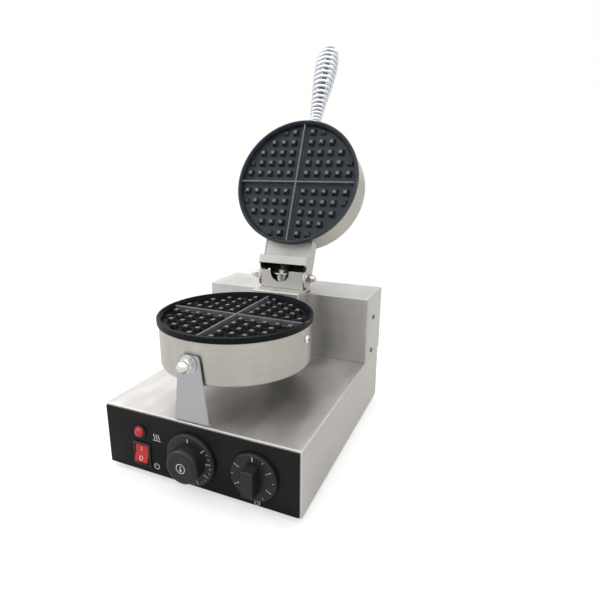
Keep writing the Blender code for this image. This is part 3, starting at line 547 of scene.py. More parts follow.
def revolved(profile, sides=96, closed=False):
    """Turns (radius, height) points about local Z. A closed profile makes a ring."""
    bm = bmesh.new()
    rings = []
    for radius, height in profile:
        ring = circle(radius, sides) if radius >= 1e-6 else [(0, 0)]
        rings.append([bm.verts.new((x, y, height)) for x, y in ring])
    following = rings[1:] + rings[:1] if closed else rings[1:]
    for first, second in zip(rings, following):
        stitch(bm, first, second)
    return bm


def stitch(bm, first, second):
    """Faces between two rings, either of which may be one point."""
    count = max(len(first), len(second))
    for k in range(count):
        n = (k + 1) % count
        here, after = k % len(first), n % len(first)
        corners = []
        for corner in (first[here], first[after], second[n % len(second)], second[k % len(second)]):
            if corner not in corners:
                corners.append(corner)
        if len(corners) > 2:
            bm.faces.new(corners)


def lofted(sections):
    """Joins closed rings of points that have the same count, and caps the two ends."""
    bm = bmesh.new()
    add_loft(bm, sections)
    return bm


def add_loft(bm, sections, capped=True):
    rings = [[bm.verts.new(point) for point in section] for section in sections]
    for first, second in zip(rings, rings[1:]):
        stitch(bm, first, second)
    if capped:
        bm.faces.new(rings[0])
        bm.faces.new(rings[-1])
    return rings


def prism(outline, low, high, axes="XY"):
    """Extrudes an outline of (a, b) points from low to high along the third axis."""
    order = {"XY": (0, 1, 2), "XZ": (0, 2, 1), "YZ": (2, 0, 1)}[axes]
    return lofted([[[(a, b, level)[k] for k in order] for a, b in outline] for level in (low, high)])


def block(low, high):
    outline = [(low[0], low[1]), (high[0], low[1]), (high[0], high[1]), (low[0], high[1])]
    return prism(outline, low[2], high[2])


def evaluated(bm, *steps):
    """The mesh after modifiers. Each step is a function that adds one modifier to the object."""
    obj = placed("work", mesh_of(bm, "work"))
    helpers = [step(obj) for step in steps]
    graph = bpy.context.evaluated_depsgraph_get()
    made = bpy.data.meshes.new_from_object(obj.evaluated_get(graph))
    for used in [obj, *[helper for helper in helpers if helper]]:
        data = used.data
        bpy.data.objects.remove(used)
        bpy.data.meshes.remove(data)
    return made


def modified(kind, **settings):
    """A step that adds a modifier with these settings."""

    def step(obj):
        modifier = obj.modifiers.new("step", kind)
        for key, value in settings.items():
            setattr(modifier, key, value)

    return step


def bevelled(width, segments=3, angle=40):
    """A step that rounds the edges sharper than angle degrees."""
    limit = math.radians(angle)
    return modified("BEVEL", width=width, segments=segments, limit_method="ANGLE", angle_limit=limit)


def thickened(thickness):
    """A step that turns faces into sheet, inwards from where they are."""
    return modified("SOLIDIFY", thickness=thickness, offset=-1)


def combined(bm, operation="DIFFERENCE"):
    """A step that cuts bm's shape out, or keeps what lies inside it with INTERSECT. It uses up bm."""

    def step(obj):
        other = placed("cutter", mesh_of(bm, "cutter"))
        other.hide_render = True
        modified("BOOLEAN", operation=operation, object=other)(obj)
        return other

    return step


def circle(radius, count):
    angles = [2 * math.pi * k / count for k in range(count)]
    return [(radius * math.cos(a), radius * math.sin(a)) for a in angles]


def swept(points, radius, sides):
    """A round wire through the points, with domed ends."""
    points = [Vector(p) for p in points]
    ahead, behind = points[1:] + points[-1:], points[:1] + points[:-1]
    tangents = [(after - before).normalized() for before, after in zip(behind, ahead)]
    normal = tangents[0].orthogonal().normalized()
    sections = []
    for point, tangent in zip(points, tangents):
        normal = (normal - tangent * normal.dot(tangent)).normalized()
        side = tangent.cross(normal)
        ring = []
        for k in range(sides):
            a = 2 * math.pi * k / sides
            ring.append(point + (normal * math.cos(a) + side * math.sin(a)) * radius)
        sections.append(ring)
    sections = [*dome(sections[0], points[0], -tangents[0], radius)[::-1], *sections]
    sections += dome(sections[-1], points[-1], tangents[-1], radius)
    return lofted(sections)


def dome(ring, centre, direction, radius):
    """Shrinking copies of an end ring that close it like a hemisphere."""
    made, steps = [], 3
    for k in range(1, steps + 1):
        angle = math.pi / 2 * k / (steps + 0.4)
        shift = direction * (radius * math.sin(angle))
        made.append([centre + (point - centre) * math.cos(angle) + shift for point in ring])
    return made


# ---- fasteners


def screw_head(radius, height):
    """A domed head with a cross recess, standing on local z = 0."""
    profile = [(0, height)]
    for a in range(12, 84, 12):
        lean = math.radians(a)
        profile.append((radius * math.sin(lean), height * math.cos(lean) ** 0.7))
    profile += [(radius, 0.12 * height), (radius * 0.97, 0), (0, 0)]
    reach, half = radius * 0.52, radius * 0.11
    first = block((-reach, -half, height * 0.35), (reach, half, height * 2))
    second = block((-half, -reach, height * 0.35), (half, reach, height * 2))
    return evaluated(revolved(profile, 32), combined(first), combined(second))


def hexagon_nut(flat_radius, low, high, dome_radius=0.0, skirt=0.0):
    """A hexagon with chamfered corners and, where dome_radius is given, a polished dome on a short neck."""
    corner = flat_radius / math.cos(math.pi / 6)
    chamfer = (corner - flat_radius) * 0.62
    flat, wide, past = flat_radius * 0.99, corner * 1.01, 0.00001
    upper = [(0, high + past), (flat, high + past), (wide, high - chamfer)]
    lower = [(wide, low + chamfer), (flat, low - past), (0, low - past)]
    cutter = combined(revolved(upper + lower, 64), "INTERSECT")
    bm = opened(evaluated(prism(circle(corner, 6), low, high), cutter, bevelled(0.00018, 2)))
    if dome_radius:
        neck = high + skirt
        profile = []
        for a in range(0, 91, 9):
            lean = math.radians(a)
            profile.append((dome_radius * math.sin(lean), neck + dome_radius * math.cos(lean)))
        profile += [(dome_radius, neck), (dome_radius * 0.99, high - 0.0004)]
        merge(bm, revolved(profile, 48))
    return bm


def merge(bm, other, matrix=None):
    """Adds other's faces to bm and uses other up."""
    mesh = mesh_of(other, "part", outward=False)
    if matrix:
        mesh.transform(matrix)
    bm.from_mesh(mesh)
    bpy.data.meshes.remove(mesh)


def washer(inner, outer, low, high):
    edge = (high - low) * 0.3
    corners = [(inner, high, edge), (outer, high, edge), (outer, low, edge), (inner, low, edge)]
    return revolved(filleted(corners, 2, closed=True), 40, closed=True)


# ---- casing


def rocker_opening():
    """The switch's hole through the casing and the front panel."""
    spot = joint_spot("rocker_tilt")
    return block((spot.x - 0.0107, -0.02, spot.z - 0.0134), (spot.x + 0.0107, 0.02, spot.z + 0.0134))


def base_shell():
    """Folded sheet casing, open below."""
    half = BASE_WIDTH / 2
    bm = block((-half, 0, 0), (half, BASE_DEPTH, BASE_HEIGHT))
    bottom = min(bm.faces, key=lambda face: face.calc_center_median().z)
    bm.faces.remove(bottom)
    mesh = evaluated(bm, bevelled(BEND, 4), thickened(SHEET), combined(rocker_opening()))
    piece("casing", mesh, "steel", "base", BASE, "base_shell")


def rounded_corners(low_x, low_z, high_x, high_z, corner, steps):
    """Outline of a box with rounded corners."""
    ends = ((low_x, low_z), (high_x, low_z), (high_x, high_z), (low_x, high_z))
    return filleted([(x, z, corner) for x, z in ends], steps, closed=True)


def fascia():
    """Flat front panel with rounded corners and the switch's hole."""
    low, high = base_box("fascia_panel")
    outline = rounded_corners(low.x, low.z, high.x, high.z, 0.0006, 3)
    mesh = evaluated(prism(outline, low.y, high.y, "XZ"), combined(rocker_opening()), bevelled(0.0002, 2))
    piece("front_panel", mesh, "fascia", "base", BASE, "fascia_panel")


def rear_housing():
    """Folded box on the back of the casing, open behind and below, and the screws of its sides and cover."""
    low, high = base_box("rear_housing")
    bm = block(low, high)
    back = max(bm.faces, key=lambda face: face.calc_center_median().y)
    bottom = min(bm.faces, key=lambda face: face.calc_center_median().z)
    bm.faces.remove(back)
    bm.faces.remove(bottom)
    mesh = evaluated(bm, bevelled(BEND, 4), thickened(SHEET))
    piece("housing", mesh, "steel_housing", "base", BASE, "rear_housing")
    head = screw_head(0.0036, 0.0017)
    for side, sign in (("left", -1), ("right", 1)):
        for level, y, z in (("low", low.y + 0.029, low.z + 0.0105), ("high", low.y + 0.034, high.z - 0.034)):
            frame = BASE @ at(sign * high.x, y, z) @ turn(90 * sign, "Y")
            piece(f"housing_screw_{side}_{level}", head.copy(), "dark_steel", "base", frame)
    low, high = base_box("rear_cover")
    spots = [(x, z) for x in (low.x + 0.008, high.x - 0.008) for z in (low.z + 0.009, high.z - 0.009)]
    for i, (x, z) in enumerate(spots):
        frame = BASE @ at(x, high.y, z) @ turn(-90, "X")
        piece(f"cover_screw_{i + 1}", head.copy(), "zinc", "base", frame)


def feet():
    """Soft feet, slightly flared, with a recess in the middle of the underside."""
    low, high = base_box("foot_front_left")
    radius, recess = (high.x - low.x) / 2, low.z + 0.0028
    corners = [(0, 0, 0), (radius, 0, 0.0008), (radius - 0.002, low.z, 0.0012)]
    corners += [(0.0045, low.z, 0.0004), (0.0040, recess, 0.0004), (0, recess, 0)]
    profile = filleted(corners, 4)
    for name in ("foot_front_left", "foot_front_right", "foot_rear_left", "foot_rear_right"):
        spot = TO_BASE @ middle(name)
        frame = BASE @ at(spot.x, spot.y, 0)
        piece("rubber_" + name, revolved(profile, 48), "rubber", "base", frame, name)


def cable_gland():
    """Moulded bushing in the back of the casing, with a ribbed nose."""
    spot = TO_BASE @ middle("cable_gland")
    corners = [
        (0.0052, -0.008, 0), (0.0078, -0.008, 0.0003), (0.0078, 0.0003, 0), (0.0105, 0.0003, 0.0004),
        (0.0105, 0.0030, 0.0006), (0.0094, 0.0040, 0.0004), (0.0092, 0.0060, 0.0003),
        (0.0086, 0.0064, 0.0003), (0.0086, 0.0084, 0.0003), (0.0080, 0.0088, 0.0003),
        (0.0078, 0.0118, 0.0010), (0.0052, 0.0118, 0.0006),
    ]
    mesh = revolved(filleted(corners, 3, closed=True), 48, closed=True)
    frame = BASE @ at(spot.x, BASE_DEPTH, spot.z) @ turn(-90, "X")
    piece("cord_bushing", mesh, "black_plastic", "base", frame, "cable_gland")


# ---- hinge on the base side


def pedestal():
    """Folded pedestal in front of the rear housing, whose top runs back over it."""
    low, high = base_box("hinge_pedestal")
    housing_low, housing_high = base_box("rear_housing")
    back, under = housing_low.y - CLEARANCE, housing_high.z + CLEARANCE
    outline = [(low.y, low.z), (back, low.z), (back, under)]
    outline += [(high.y, under), (high.y, high.z), (low.y, high.z)]
    mesh = evaluated(prism(outline, low.x, high.x, "YZ"), bevelled(0.0018, 4))
    piece("pedestal", mesh, "steel", "base", BASE, "hinge_pedestal")


def hinge_bracket():
    """U-shaped bracket with a notch in its front and rounded ears, and a black plate across its back that is
    painted shade for the bracket's shadowed inside.
    """
    low, high = base_box("hinge_bracket")
    left, right, front = low.x + BRACKET_SHEET, high.x - BRACKET_SHEET, low.y + BRACKET_SHEET
    outer = [(low.x, high.y, 0), (low.x, low.y, 0.0012), (high.x, low.y, 0.0012), (high.x, high.y, 0)]
    inner = [(right, high.y, 0), (right, front, 0.0003), (left, front, 0.0003), (left, high.y, 0)]
    outline = filleted(outer + inner, 5, closed=True)
    tube = TO_BASE @ middle("lead_bushing")
    ears = [(low.y - 0.02, low.z - 0.01, 0), (high.y, low.z - 0.01, 0)]
    ears += [(high.y, high.z, 0.006), (low.y - 0.02, high.z, 0)]
    mesh = evaluated(
        prism(outline, low.z, high.z),
        combined(prism(notch(tube.x, high.z), low.y - 0.01, low.y + 0.006, "XZ")),
        combined(prism(filleted(ears, 8, closed=True), low.x - 0.01, high.x + 0.01, "YZ"), "INTERSECT"),
        bevelled(0.00025, 2),
    )
    bm = opened(mesh)
    merge(bm, block((low.x + 0.001, low.y + 0.001, low.z), (high.x - 0.001, high.y, low.z + BRACKET_SHEET)))
    piece("bracket", bm, "steel_lid", "base", BASE, "hinge_bracket")
    # The black plate across the back is painted shade for the bracket's shadowed inside.
    near = (left + 0.0002, high.y - 0.0014, low.z + BRACKET_SHEET)
    far = (right - 0.0002, high.y - 0.0002, HINGE.z - 0.002)
    radius = LEAD_BODY + 0.0004
    gap = revolved([(0, low.z), (radius, low.z), (radius, high.z + 0.01), (0, high.z + 0.01)], 48)
    bmesh.ops.translate(gap, verts=gap.verts, vec=(tube.x, tube.y, 0))
    rear = evaluated(block(near, far), combined(gap), bevelled(0.0003, 2))
    piece("bracket_shade_back", rear, "black_paint", "base", BASE)


def notch(middle_x, top):
    """Outline of the notch that opens upwards from the bracket's front."""
    radius, depth = 0.0144, 0.0165
    centre = top - depth + radius
    points = [(middle_x - radius, top + 0.01)]
    for a in range(0, 181, 9):
        lean = math.radians(a)
        points.append((middle_x - radius * math.cos(lean), centre - radius * math.sin(lean)))
    return [*points, (middle_x + radius, top + 0.01)]


def lead_bushing():
    """Tube behind the notch, with a bright flange and a hexagon under the end that the leads come out of."""
    spot = TO_BASE @ middle("lead_bushing")
    low, high = base_box("lead_bushing")
    floor = base_box("hinge_bracket")[0].z + BRACKET_SHEET - low.z + 0.0005
    top = high.z - low.z
    flange, neck = top - 0.0040, LEAD_BODY - 0.0008
    corners = [
        (0.0034, top, 0.0004), (0.0046, top, 0.0006), (0.0046, flange, 0.0004),
        (0.0132, flange, 0.0005), (0.0132, flange - 0.0019, 0.0005), (neck, flange - 0.0019, 0.0004),
        (neck, flange - 0.0050, 0.0003), (LEAD_BODY, flange - 0.0053, 0.0003),
        (LEAD_BODY, floor, 0.0005), (0.0046, floor, 0), (0.0046, 0, 0), (0.0034, 0, 0),
    ]
    bm = revolved(filleted(corners, 3, closed=True), 48, closed=True)
    merge(bm, hexagon_nut(0.0055, flange, flange + 0.0042))
    piece("lead_tube", bm, "zinc", "base", BASE @ at(spot.x, spot.y, low.z), "lead_bushing")


def reach_from_middle(node):
    """The node's nearest and farthest distance from the plane x = 0."""
    return sorted(abs(corner.x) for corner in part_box(node))


def pivot_fasteners():
    """Acorn nut and washer on each side of the hinge."""
    dome_radius, height = 0.0048, 0.0052
    for side, sign in (("left", -1), ("right", 1)):
        frame = BASE @ Matrix.Translation(HINGE) @ turn(90 * sign, "Y")
        start, end = reach_from_middle(f"pivot_nut_{side}")
        nut = hexagon_nut(0.0056, start, start + height, dome_radius, end - start - height - dome_radius)
        piece(f"acorn_nut_{side}", nut, "brassy", "base", frame, f"pivot_nut_{side}")
        ring = washer(0.0033, 0.0068, *reach_from_middle(f"pivot_washer_{side}"))
        piece(f"plain_washer_{side}", ring, "zinc", "base", frame, f"pivot_washer_{side}")


# ---- waffle plates


def rounded_square(half, corner, z, centre):
    """A square ring with round corners, centred on (x, y)."""
    points, steps = [], 4
    for quarter in range(4):
        cx = half - corner if quarter in (0, 3) else corner - half
        cy = half - corner if quarter in (0, 1) else corner - half
        for k in range(steps + 1):
            a = math.pi / 2 * (quarter + k / steps)
            points.append((centre[0] + cx + corner * math.cos(a), centre[1] + cy + corner * math.sin(a), z))
    return points


def stud_sections(x, y):
    """A drafted block with a filleted foot and softly rounded top. Those at the cavity's wall are lower."""
    low, base, top = -CAVITY_DEPTH, STUD_BASE / 2, STUD_TOP / 2
    rise = LOW_STUD if math.hypot(x, y) > LOW_STUD_START else 1.0
    steps = [
        (base + 0.0011, 0.0020, low - 0.0001), (base + 0.0004, 0.0014, low + 0.00025),
        (base, 0.0011, low + 0.0008), (base + (top - base) * 0.5, 0.0010, low * 0.5),
        (top + 0.00035, 0.0011, -0.00100), (top + 0.00005, 0.0012, -0.00045),
        (top - 0.00045, 0.0011, -0.00016), (top - 0.0012, 0.0008, 0),
    ]
    return [rounded_square(half, corner, low + (z - low) * rise, (x, y)) for half, corner, z in steps]


def rib_section(length):
    """Cross-section points of a rib at both of its ends."""
    low, base, top = -CAVITY_DEPTH, RIB_BASE / 2, RIB_TOP / 2
    right = [
        (base + 0.0011, low - 0.0002), (base + 0.0004, low + 0.00025), (base, low + 0.0008),
        (top + 0.00025, -0.0006), (top, -0.0002), (top - 0.00035, 0),
    ]
    section = right + [(-x, z) for x, z in reversed(right)]
    return [[(x, sign * length, z) for x, z in section] for sign in (-1, 1)]


def quadrant_spots():
    """Places of the studs in one quadrant."""
    steps = [STUD_FIRST + k * STUD_PITCH for k in range(6)]
    return [(x, y) for x in steps for y in steps if math.hypot(x, y) < STUD_REACH]


def plate_profile():
    """Half section: the cavity from its middle, the ledge, the raised lip, and the back to its middle."""
    under = CASING_RADIUS - 0.0025
    corners = [
        (0, -CAVITY_DEPTH, 0), (CAVITY_RADIUS - 0.0018, -CAVITY_DEPTH, 0.0014),
        (CAVITY_RADIUS, LEDGE_RISE, 0.0004), (LEDGE_RADIUS, LEDGE_RISE, 0.0002),
        (LEDGE_RADIUS + 0.0002, RIM_RISE, 0.0005), (RIM_RADIUS, RIM_RISE, 0.0010),
        (RIM_RADIUS, RIM_RISE - RIM_BAND, 0.0006), (under, RIM_RISE - RIM_BAND, 0),
        (under, -PLATE_THICKNESS, 0.001), (0, -PLATE_THICKNESS, 0),
    ]
    return filleted(corners, 5)


def within(section, limit):
    """The section's points, pulled in to a circle of the given radius round the plate's middle."""
    made = []
    for x, y, z in section:
        scale = min(1, limit / math.hypot(x, y))
        made.append((x * scale, y * scale, z))
    return made


def waffle_plate(name, look, body, frame, node):
    """Round plate with its studs and the two crossed ribs between the quadrants."""
    bm = revolved(plate_profile(), 192)
    for x, y in quadrant_spots():
        for sx in (-1, 1):
            for sy in (-1, 1):
                add_loft(bm, [within(section, STUD_WALL) for section in stud_sections(sx * x, sy * y)])
    for quarter in (0, 90):
        merge(bm, lofted(rib_section(CAVITY_RADIUS - 0.0004)), turn(quarter, "Z"))
    piece(name, bm, look, body, frame, node, 50)


# ---- pan


def pan():
    """Drawn casing under the lower plate, the plate, and the casing's two side screws."""
    top = RIM_RISE - RIM_BAND - CLEARANCE
    r, floor = CASING_RADIUS, PAN_BOTTOM + SHEET
    wall = [(r - SHEET, top, 0.0005), (r, top, 0.0006), (r, PAN_BOTTOM, 0.0030), (0, PAN_BOTTOM, 0)]
    outer = filleted(wall, 6)
    inner = filleted([(0, floor, 0), (r - SHEET, floor, 0.0018), (r - SHEET, top - 0.001, 0)], 5)
    piece("pan_shell", revolved(outer + inner, 192), "steel_round", "base", PAN, "pan_casing")
    # The lower plate takes the coating's copy with painted shade in its body and a painted highlight on its stud
    # tops.
    waffle_plate("lower_waffle_plate", "shaded_coating", "base", PAN, "lower_plate")
    head = screw_head(0.0050, 0.0028)
    for side, sign in (("left", -1), ("right", 1)):
        spot = TO_BASE @ middle(f"pan_screw_{side}")
        frame = BASE @ at(sign * (CASING_RADIUS + 0.0002), spot.y, spot.z) @ turn(90 * sign, "Y")
        piece(f"pan_side_screw_{side}", head.copy(), "chrome", "base", frame, f"pan_screw_{side}")


def bracket_sheet(node, direction):
    """A folded bracket: a tapered upright with round top corners, a bend, and a foot that points to +Y where
    direction is +1 and to -Y where it is -1."""
    low, high = base_box(node)
    face_y = low.y if direction > 0 else high.y
    bend, narrow, corner = 0.0022, 0.0125, 0.0040
    x, wide = (low.x + high.x) / 2, (high.x - low.x) / 2
    rise, foot = high.z - low.z, high.y - low.y
    stations = [(foot, 0.0, math.pi / 2, wide)]
    for a in np.linspace(0, math.pi / 2, 7):
        stations.append((bend - bend * math.sin(a), bend - bend * math.cos(a), math.pi / 2 - a, wide))
    for k in range(1, 9):
        z = bend + (rise - corner - bend) * k / 8
        stations.append((0.0, z, 0.0, wide + (narrow - wide) * (z - bend) / (rise - bend)))
    for a in np.linspace(0.15, math.pi / 2, 8):
        z = rise - corner + corner * math.sin(a)
        stations.append((0.0, z, 0.0, narrow - corner + corner * math.cos(a)))
    sections = []
    for out, z, lean, half in stations:
        section = []
        for sign, depth in ((-1, 0), (1, 0), (1, BRACKET_SHEET), (-1, BRACKET_SHEET)):
            y = face_y + direction * (out + depth * math.cos(lean))
            section.append((x + sign * half, y, low.z + z + depth * math.sin(lean)))
        sections.append(section)
    return evaluated(lofted(sections), bevelled(0.0003, 2, 50))


def pan_supports():
    """Front and rear brackets of the pan, their acorn nuts, and the front one's wide washer."""
    dome_radius, height = 0.0069, 0.0050
    piece("front_support", bracket_sheet("front_bracket", 1), "bracket_steel", "base", BASE, "front_bracket")
    piece("rear_support", bracket_sheet("rear_bracket", -1), "bracket_steel", "base", BASE, "rear_bracket")
    for name, sign in (("front", -1), ("rear", 1)):
        low, high = base_box(name + "_nut")
        spot = (low + high) / 2
        frame = BASE @ at(spot.x, high.y if sign < 0 else low.y, spot.z) @ turn(-90 * sign, "X")
        nut = hexagon_nut(0.0074, 0, height, dome_radius, high.y - low.y - height - dome_radius)
        piece(name + "_acorn_nut", nut, "chrome", "base", frame, name + "_nut")
    low, high = base_box("front_washer")
    spot = (low + high) / 2
    frame = BASE @ at(spot.x, high.y, spot.z) @ turn(90, "X")
    ring = washer(0.0043, (high.x - low.x) / 2, 0, high.y - low.y)
    piece("wide_washer", ring, "zinc", "base", frame, "front_washer")


# ---- lid


def lid_shell():
    """Drawn casing behind the upper plate, with a softly rounded back edge, and the plate."""
    r = CASING_RADIUS
    low = RIM_BAND - RIM_RISE + CLEARANCE
    corners = [(0, LID_DEPTH, 0), (r, LID_DEPTH, 0.0035), (r, low, 0.0005), (r - SHEET, low, 0)]
    inner = [(r - SHEET, LID_DEPTH - 0.005), (r - 0.005, LID_DEPTH - SHEET), (0, LID_DEPTH - SHEET)]
    profile = filleted(corners, 6) + inner
    piece("lid_shell", revolved(profile, 192), "steel_round", "lid", LID_PLATE, "lid_casing")
    waffle_plate("upper_waffle_plate", "plate_coating", "lid", LID_PLATE @ turn(180, "X"), "upper_plate")


def lid_casing_space():
    """A cylinder round the lid's casing, in LID, to trim what meets the casing."""
    radius = CASING_RADIUS + CLEARANCE
    bm = revolved([(0, -0.03), (radius, -0.03), (radius, 0.10), (0, 0.10)], 192)
    bmesh.ops.translate(bm, verts=bm.verts, vec=(0, LID_PLATE_Y, LID_PLATE_Z))
    return bm


def arm():
    """Two side plates joined by a web that steps forward to a lip over the hinge."""
    inner, sheet, bend = 0.0345, 0.0020, 0.0016
    lip_z, back_z = -0.0127, 0.018
    start = LID_PLATE_Y + ARM_START
    side_corners = [
        (start, back_z, 0), (start, -0.0005, 0), (-0.0290, -0.0005, 0.002), (-0.0262, lip_z, 0.002),
        (-0.0148, lip_z, 0.0008), (-0.0120, -0.0060, 0.003), (0.0150, -0.0060, 0.0105),
        (0.0150, back_z, 0.0115),
    ]
    outline = filleted(side_corners, 7, closed=True)
    plate = prism(outline, inner, inner + sheet, "YZ")
    sides = evaluated(plate, combined(lid_casing_space()), bevelled(0.0004, 3))
    bm = opened(sides)
    sides.transform(Matrix.Scale(-1, 4, (1, 0, 0)))
    bm.from_mesh(sides)
    web_corners = [
        (start, 0.0020, 0), (start, 0.0002, 0), (-0.0270, 0.0002, bend - 0.0010),
        (-0.0270, lip_z, bend), (-0.0150, lip_z, 0.0006), (-0.0150, lip_z + 0.0018, 0.0006),
        (-0.0252, lip_z + 0.0018, bend - 0.0010), (-0.0252, 0.0020, bend),
    ]
    web = prism(filleted(web_corners, 5, closed=True), -inner - 0.0004, inner + 0.0004, "YZ")
    bm.from_mesh(evaluated(web, combined(lid_casing_space()), bevelled(0.0002, 2, 60)))
    piece("arm", bm, "steel_lid", "lid", LID, "lid_arm")


def arm_back():
    """Black cover on the back of the arm, with a narrower tail that hides the hinge from behind, and with a flange
    inside each side plate.
    Its black is painted shade for the arm's shadowed inside."""
    low, high = 0.0160, 0.0172
    start, end, tail = LID_PLATE_Y + ARM_START, -0.0120, -0.0035
    wide, narrow, flange = ARM_COVER_WIDTH, 0.0305, 0.0333
    right = [(wide, start, 0), (wide, end, 0.001), (narrow, end, 0.001), (narrow, tail, 0.002)]
    left = [(-x, y, corner) for x, y, corner in reversed(right)]
    cover = prism(filleted([left[-1], *right, *left[:-1]], 3, closed=True), low, high)
    bm = opened(evaluated(cover, combined(lid_casing_space()), bevelled(0.0003, 2)))
    # Flanges inside the side plates: painted shade on their inner faces.
    for near, far in ((-wide, -flange), (flange, wide)):
        merge(bm, block((near, -0.0245, -0.0105), (far, -0.0088, low + CLEARANCE)))
    piece("arm_back", bm, "black_paint", "lid", LID, "arm_rear_cover")


def grip_radius(t):
    """Radius of the coil's centre line, with t from 0 at the lid to 1 at the tip."""
    if t < COIL_PEAK:
        x = t / COIL_PEAK
        return COIL_ROOT + (COIL_BELLY - COIL_ROOT) * x * x * (3 - 2 * x)
    x = (t - COIL_PEAK) / (1 - COIL_PEAK)
    return COIL_BELLY + (COIL_TIP - COIL_BELLY) * x**2.5


def grip_pitch(t):
    """Distance between turns: close at the lid and open along the belly."""
    x = min(max((t - 0.08) / 0.37, 0), 1)
    return 0.0052 + 0.0029 * x * x * (3 - 2 * x)


def coil():
    """Tapered wire coil of the grip."""
    points, z, angle = [], COIL_START, 0.0
    per_turn = 40
    while z < COIL_END:
        t = (z - COIL_START) / (COIL_END - COIL_START)
        radius = grip_radius(t)
        points.append((radius * math.cos(angle), radius * math.sin(angle), z))
        angle += 2 * math.pi / per_turn
        z += grip_pitch(t) / per_turn
    piece("grip_coil", swept(points, WIRE_RADIUS, 14), "wire", "lid", GRIP, "handle_coil", 60)


def grip_ends():
    """Hexagon at the lid and domed end cap."""
    piece("grip_nut", hexagon_nut(0.0072, 0.0034, 0.0055), "chrome", "lid", GRIP, "handle_collar")
    top, under = COIL_END + 0.0020, COIL_END - 0.0024
    corners = [(0, top, 0), (0.0063, top - 0.0002, 0.0022), (0.0063, under, 0.0006), (0.0040, under, 0)]
    piece("grip_cap", revolved(filleted(corners, 6), 48), "chrome", "lid", GRIP, "handle_cap")


def leads():
    """Sleeve on the lid's leads, from the tube on the base into the arm, in one fixed curve across the hinge."""
    tube = middle("lead_bushing")
    tube_top = TO_BASE @ Vector((tube.x, tube.y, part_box("lead_bushing")[1].z))
    into = LID @ Vector((0, -0.022, LID_PLATE_Z + 0.022))
    far = LID @ Vector((0, LID_PLATE_Y + CASING_RADIUS - 0.004, LID_PLATE_Z + 0.022))
    start = BASE @ (tube_top - Vector((0, 0, 0.006)))
    top = BASE @ tube_top
    controls = [start, top, top + Vector((0, 0, 0.006)), into - (far - into).normalized() * 0.006, into]
    points = smooth_line(controls, 12)
    points += [into.lerp(far, k / 8) for k in range(1, 9)]
    obj = piece("lead_sleeve_run", swept(points, 0.0029, 16), "sleeve", None, Matrix.Identity(4))
    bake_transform(obj)
    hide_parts("lead_sleeve")


def smooth_line(controls, steps):
    """Catmull-Rom curve through the control points."""
    points = []
    ends = [2 * controls[0] - controls[1], *controls, 2 * controls[-1] - controls[-2]]
    for a, b, c, d in zip(ends, ends[1:], ends[2:], ends[3:]):
        for k in range(steps):
            t = k / steps
            square, cube = 2 * a - 5 * b + 4 * c - d, 3 * b - a - 3 * c + d
            points.append(0.5 * (2 * b + (c - a) * t + square * t**2 + cube * t**3))
    return [*points, controls[-1]]


# ---- controls


def bar(low_x, low_y, high_x, high_y, height, thickness):
    """A thin raised rectangle."""
    return block((low_x, low_y, height), (high_x, high_y, height + thickness))


def radial_mark(bm, angle, inner, outer, width, height):
    """Adds a tick from inner to outer radius, at angle degrees clockwise from the top of a knob."""
    merge(bm, bar(-width / 2, inner, width / 2, outer, height, KNOB_PRINT), turn(-angle, "Z"))


def glyph(bm, text, size, matrix):
    """Adds a flat number of a knob's scale, centred on the matrix's origin."""
    curve = bpy.data.curves.new("glyph", "FONT")
    curve.body = text
    curve.size = size
    curve.extrude = KNOB_PRINT / 2
    curve.align_x = "CENTER"
    curve.align_y = "CENTER"
    curve.resolution_u = 3
    obj = placed("glyph", curve)
    graph = bpy.context.evaluated_depsgraph_get()
    mesh = bpy.data.meshes.new_from_object(obj.evaluated_get(graph))
    mesh.transform(matrix)
    bm.from_mesh(mesh)
    bpy.data.meshes.remove(mesh)
    bpy.data.objects.remove(obj)
    bpy.data.curves.remove(curve)


def flat_ring(bm, inner, outer, height, thickness, start=0, end=360, centre_y=0):
    """Adds a thin raised ring or arc. Angles run clockwise from the top."""
    count = max(int(abs(end - start) / 6), 2)
    angles = [math.radians(90 - start - (end - start) * k / count) for k in range(count + 1)]
    top = height + thickness
    corners = [(inner, height), (outer, height), (outer, top), (inner, top)]
    sections = [[(r * math.cos(a), centre_y + r * math.sin(a), z) for r, z in corners] for a in angles]
    add_loft(bm, sections, capped=abs(end - start) < 360)


def fluted(flutes, per_flute, levels):
    """Rings of a fluted grip, for levels of (height, radius, share of the flutes' depth)."""
    count, depth = flutes * per_flute, 0.0004
    sections = []
    for z, radius, share in levels:
        ring = []
        for k in range(count):
            a = 2 * math.pi * k / count
            wave = (0.5 + 0.5 * math.cos(flutes * a)) ** 2
            r = radius - depth * share * wave
            ring.append((r * math.cos(a), r * math.sin(a), z))
        sections.append(ring)
    return sections


